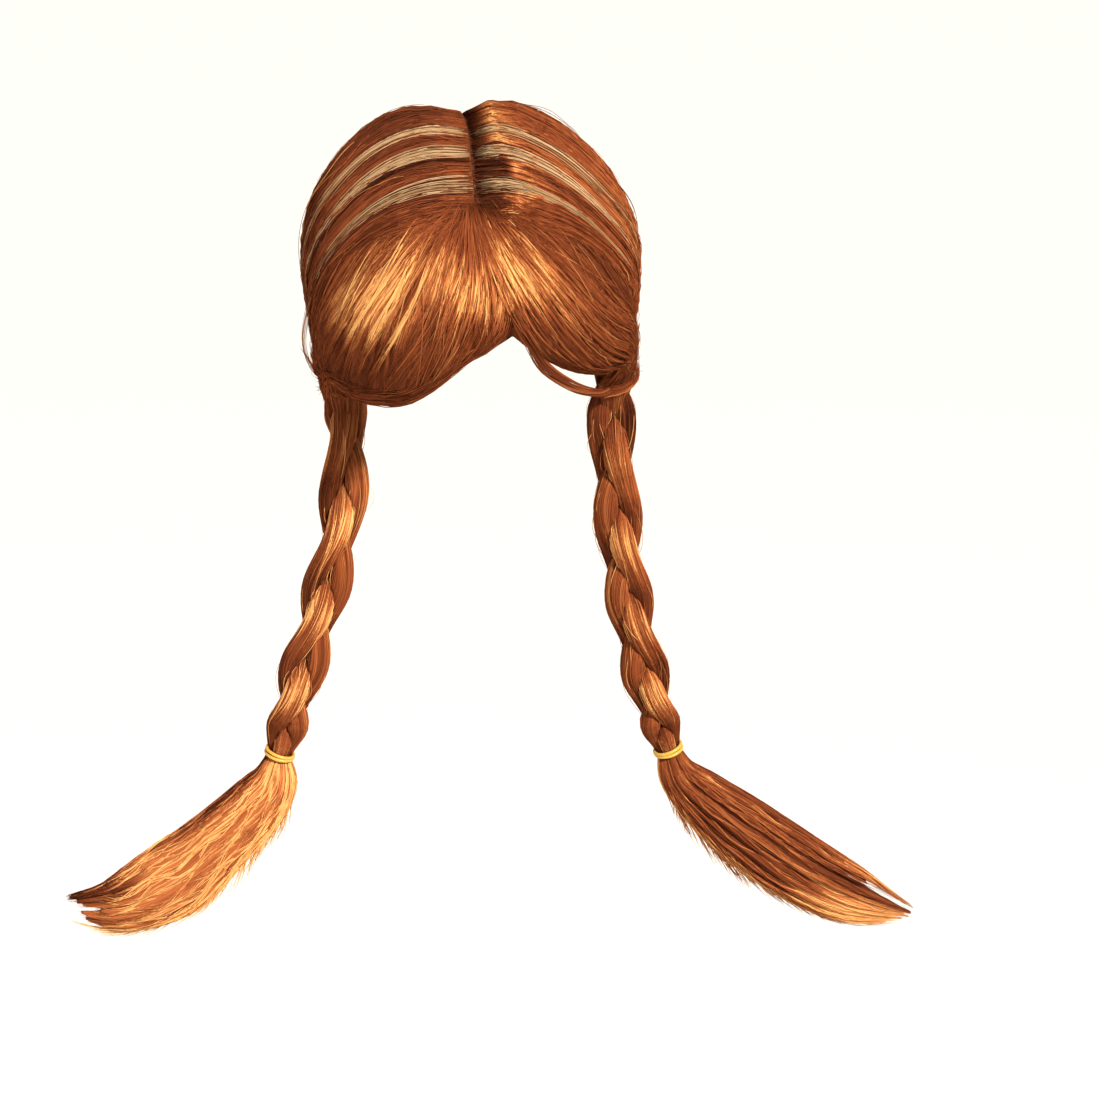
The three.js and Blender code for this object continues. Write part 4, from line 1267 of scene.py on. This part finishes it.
def tail_base(hair, side, seed, tone):
    across, share = grid("tail")
    along = share * tail_core(side, across)
    outer, _ = tail_point(side, across, along, 1.0, -TAIL_LOCKS.base_depth)
    inner, _ = tail_point(side, across, along, -1.0, -TAIL_LOCKS.base_depth)
    # The base is darker, as painted shade between the fibres, and takes the same change of tone as its fibres
    base = tone + BASE_PAINTED_SHADE / 2 + tail_streaks_and_painted_light(side, across, along) + BLOTCH * waves(seed, 8, 1, across, along)
    hair.sheet_wall(outer, inner, shades_of(base, along, across), BODY_MAP)


def tail(side, seed, tone):
    rng = np.random.default_rng(seed)
    hair = Hair()
    edges = tail_locks(rng)
    tail_base(hair, side, seed, tone)
    form, tufts = TAIL_HAIRS, TAIL_HAIRS.tufts
    count, share = fibre_set("tail")
    places = strewn(rng, count)
    width, tuft = clumped(rng, places, tufts, form.pull * smooth_step(0.15, 0.6, share))
    lock = np.clip(np.searchsorted(edges, places) - 1, 0, len(edges) - 2)
    middle = (edges[lock] + edges[lock + 1]) / 2
    pull = rng.uniform(*TAIL_LOCKS.pull, TAIL_LOCKS.count)[lock][:, None]
    width = mix(width, middle[:, None], pull * smooth_step(TAIL_LOCKS.pull_from, 1, share))
    swing = TAIL_CRIMP[side] * rng.normal(1, 0.35, tufts)[tuft][:, None] * smooth_step(0.1, 0.35, share)
    phase = rng.uniform(0, 1, tufts)[tuft][:, None]
    width = width + swing * np.sin(2 * np.pi * (TAIL_CRIMP["waves"] * share + phase))
    width = width + rng.normal(0, form.wander, count)[:, None] * (share - 0.3)
    end = tail_reach(side, places) * (1 - np.abs(rng.normal(0, form.uneven, count)))
    along = end[:, None] * share
    face = either_face(rng, count)
    crimp = np.sin(2 * np.pi * (TAIL_CRIMP["waves"] * share + 1.3 * phase))
    rise = rng.uniform(-form.rise, form.rise, count)[:, None] + form.rise * crimp
    paths, out = tail_point(side, width, along, face, rise)
    ragged = along + rng.normal(0, form.ragged, tufts)[tuft][:, None]
    dark = TAIL_DARK[side] * (rng.uniform(0, 1, tufts) < form.dark_share)[tuft]
    blotch = form.blotch * waves(seed + 3, 5, 5, width, along)
    tones = tones_of(rng, tuft, tone, form.tuft_tone) - dark
    tones = tones[:, None] + tail_streaks_and_painted_light(side, width, ragged) + blotch
    lay(hair, rng, paths, tones, FIBRE_MAP, places, PLAIT_RADIUS, out)
    tail_fray(hair, side, rng, tone)
    finish_piece(hair, f"tail_{side}", "hair")


def tail_fray(hair, side, rng, tone):
    """Small locks of golden hair that feather the lower edge of a loose end."""
    form, clumps = TAIL_FRAY, TAIL_FRAY.locks
    count, share = fibre_set("fray")
    places = strewn(rng, count)
    lock = np.clip((places * clumps).astype(int), 0, clumps - 1)
    start = mix(*form.start, (lock + 0.5) / clumps) + rng.normal(0, 0.03, count)
    end = start + rng.uniform(*form.length, clumps)[lock] + rng.normal(0, 0.02, count)
    along = mix(start[:, None], np.minimum(end, form.furthest)[:, None], share)
    inside = rng.uniform(*form.inside, count)[:, None]
    outside = 1.0 + rng.uniform(*form.flick, clumps)[lock] + rng.normal(0, 0.02, count)
    width = mix(inside, outside[:, None], share ** form.bend)
    face = either_face(rng, count)
    paths, out = tail_point(side, width, along, face, form.rise)
    tones = toned(rng, max(tone, form.least_tone), form, count)
    lay(hair, rng, paths, tones, STRAY_MAP, places, FIBRE_RADIUS, out)


def wrap_lock(seed, tone):
    rng = np.random.default_rng(seed)
    hair = Hair()
    form = WRAP_LOCK
    steps = np.linspace(0, 1, form.turn_points)
    angles = np.radians(mix(*form.turn, steps))
    heights = mix(*form.turn_height, steps ** form.late_rise)
    turns = GATHER["left"] * np.array([1, 1, 0]) + np.stack(
        [form.turn_radius * np.cos(angles), form.turn_radius * np.sin(angles), heights], axis=-1)
    count, share = fibre_set("wrap")
    centre, tangent = along_curve(form.path + turns.tolist(), share)
    sideways = unit(np.cross(tangent, np.array([0.0, 0.0, 1.0])))
    upward = np.cross(sideways, tangent)
    around = strewn(rng, count)
    angle = 2 * np.pi * (around[:, None] + form.twist * share)
    reach = form.radius * np.sqrt(rng.uniform(0.1, 1, count))[:, None]
    reach = reach * mix(1.5, 0.8, smooth_step(0, 0.5, share)) * mix(1, 1.5, smooth_step(0.86, 1, share))
    reach = reach * (1 + form.looseness * waves(seed + 1, 3, 2, around[:, None], share))
    cos, sin = np.cos(angle)[..., None], np.sin(angle)[..., None]
    broad, tall = form.section
    paths = centre + (sideways * broad * cos + upward * tall * sin) * reach[..., None]
    radius = rng.uniform(*FIBRE_RADIUS, count)
    tones = rng.normal(tone, form.tone_spread, count)
    hair.fibres(paths, sideways * cos + upward * sin, radius, tones, FIBRE_MAP, around)
    finish_piece(hair, "wrap_lock_left", "hair")


def cap():
    hair = Hair()
    turn, down = grid("cap")
    turn, down = turn[:-1], down[:-1]
    azimuth = 360 * turn
    rim = look_up(CAP_RIM.azimuth, CAP_RIM.height, np.minimum(azimuth, 360 - azimuth))
    drop = 1 - np.cos(np.pi / 2 * mix(CAP_CROWN, 1, down))
    outer = head_at(azimuth, mix(CAP_WALL, rim, drop), np.full_like(drop, CAP_WALL))
    inner = head_at(azimuth, mix(0.0, rim, drop), np.zeros_like(drop))
    hair.sheet_wall(outer, inner, shades_of(PLAIN_TONE, down, turn), BODY_MAP, ring=True)
    finish_piece(hair, "cap", "net")


def seam():
    hair = Hair()
    across, along = grid("seam")
    way = parting_direction(along, (2 * across - 1) * SEAM.half_width)
    top = HAIR_BASE + SEAM.edge + SEAM.height * (1 - (2 * across - 1) ** 2)
    hair.sheet_wall(head_point(way, top), head_point(way, np.full_like(top, HAIR_BASE)),
                    shades_of(PLAIN_TONE, along, across), BODY_MAP)
    finish_piece(hair, "parting_seam", "net")


def tie(side):
    """Two turns of elastic, one against the other, drawn tight round the hair."""
    hair = Hair()
    centre, across, front, along = (axis[0] for axis in plait_axes(side, np.array([1.0])))
    steps, sides = GRIDS["tie"]
    round_plait, round_cord = np.arange(steps) / steps, np.arange(sides) / sides
    angle, roll = 2 * np.pi * round_plait, 2 * np.pi * round_cord
    out = across * np.cos(angle)[:, None] + front * np.sin(angle)[:, None]
    ring = out[:, None] * np.cos(roll)[None, :, None] + along * np.sin(roll)[None, :, None]
    apart = TIE.apart * (1 + TIE.uneven * np.cos(angle))
    slots = split_box(BODY_MAP, [0.5, 0.5])
    for step, slot in zip((-1, 1), slots):
        height = step * apart - TIE.rise + TIE.tilt * np.sin(angle)
        middle = centre + out * TIE.radius + along * height[:, None]
        shades = shades_of(PLAIN_TONE, round_plait[:, None], round_cord[None])
        hair.loop(middle[:, None] + TIE.cord * ring, shades, slot)
    finish_piece(hair, f"tie_{side}", "elastic")


cap()
seam()
for order, name in enumerate(SIGN):
    side_hair(name, SEEDS.side_hair + order, TONES["side_hair"][name])
    fringe(name, SEEDS.fringe + order, TONES["fringe"][name])
    for number in range(3):
        highlight(name, number, SEEDS.highlight + 3 * order + number)
        plait_strand(name, number, SEEDS.plait + 3 * order + number, TONES["plait"][name])
    tail(name, SEEDS.tail + order, TONES["tail"][name])
    tie(name)
wrap_lock(SEEDS.wrap_lock, TONES["fringe"]["left"])


# Floor, light and camera

def floor():
    mesh = bpy.data.meshes.new("floor")
    half, height = FLOOR.half * MM, FLOOR.height * MM
    corners = [(-half, -half, height), (half, -half, height), (half, half, height), (-half, half, height)]
    mesh.from_pydata(corners, [], [(0, 1, 2, 3)])
    material, *_ = shader("floor", {
        "Roughness": 0.9, "Specular IOR Level": 0.1, "Base Color": (*FLOOR.colour, 1)})
    mesh.materials.append(material)
    plane = bpy.data.objects.new("floor", mesh)
    bpy.context.scene.collection.objects.link(plane)


def way_to(azimuth, elevation):
    """The way towards an azimuth, with 0 in front and 90 to the wearer's left, and an elevation."""
    a, e = np.radians(azimuth), np.radians(elevation)
    return Vector((np.sin(a) * np.cos(e), -np.cos(a) * np.cos(e), np.sin(e)))


def light_from(way, name, kind, power, colour):
    """A new light that shines back from a way, and its lamp."""
    lamp = bpy.data.lights.new(name, kind)
    lamp.energy = power
    lamp.color = colour
    light = bpy.data.objects.new(name, lamp)
    light.rotation_euler = way.to_track_quat("Z", "Y").to_euler()
    bpy.context.scene.collection.objects.link(light)
    return light, lamp


def soft_light(name, azimuth, elevation, size, watts, colour):
    """A square light that faces the wig."""
    way = way_to(azimuth, elevation)
    light, lamp = light_from(way, name, "AREA", watts, colour)
    lamp.shape = "SQUARE"
    lamp.size = size
    light.location = (Vector(SOFT_LIGHT.target) + way * SOFT_LIGHT.distance) * MM


def sun(name, azimuth, elevation, spread, strength, colour):
    """An even light from far away, as wide as a spread in degrees."""
    _, lamp = light_from(way_to(azimuth, elevation), name, "SUN", strength, colour)
    lamp.angle = np.radians(spread)


def world(overhead, horizon):
    """Even light from all round, paler at the horizon."""
    sky = bpy.data.worlds.new("studio")
    sky.use_nodes = True
    nodes, links = sky.node_tree.nodes, sky.node_tree.links
    coordinate = nodes.new("ShaderNodeTexCoord")
    parts = nodes.new("ShaderNodeSeparateXYZ")
    links.new(coordinate.outputs["Generated"], parts.inputs["Vector"])
    ramp = colour_ramp(nodes, [(0.0, (horizon,) * 3), (0.3, (overhead,) * 3)])
    links.new(parts.outputs["Z"], ramp.inputs["Fac"])
    links.new(ramp.outputs["Color"], nodes["Background"].inputs["Color"])
    bpy.context.scene.world = sky


def camera():
    """The photograph's view: the scale at the head's centre and that centre's pixel fix the frame."""
    back = way_to(VIEW.azimuth, VIEW.elevation)
    turn = np.radians(VIEW.azimuth)
    right = Vector((np.cos(turn), np.sin(turn), 0))
    up = back.cross(right)
    scale = VIEW.mm_per_pixel
    offset = right * (FRAME_PIXELS / 2 - HEAD_PIXEL[0]) - up * (FRAME_PIXELS / 2 - HEAD_PIXEL[1])
    aim = Vector(HEAD_CENTRE) + offset * scale
    lens = bpy.data.cameras.new("photo_view")
    lens.sensor_width = SENSOR_MM
    lens.lens = SENSOR_MM * VIEW.distance / (FRAME_PIXELS * scale)
    view = bpy.data.objects.new("photo_view", lens)
    view.matrix_world = Matrix.Translation((aim + back * VIEW.distance) * MM) @ Matrix(
        (right, up, back)).transposed().to_4x4()
    bpy.context.scene.collection.objects.link(view)
    bpy.context.scene.camera = view


floor()
world(overhead=0.24, horizon=0.7)
sun("key", azimuth=32, elevation=43, spread=6, strength=6.3, colour=(1.0, 0.94, 0.85))
soft_light("fill", azimuth=-45, elevation=18, size=1.6, watts=14, colour=(1.0, 0.96, 0.93))
soft_light("rim", azimuth=175, elevation=36, size=2.2, watts=11, colour=(1.0, 0.92, 0.8))
camera()
bpy.context.scene.view_settings.view_transform = "Standard"
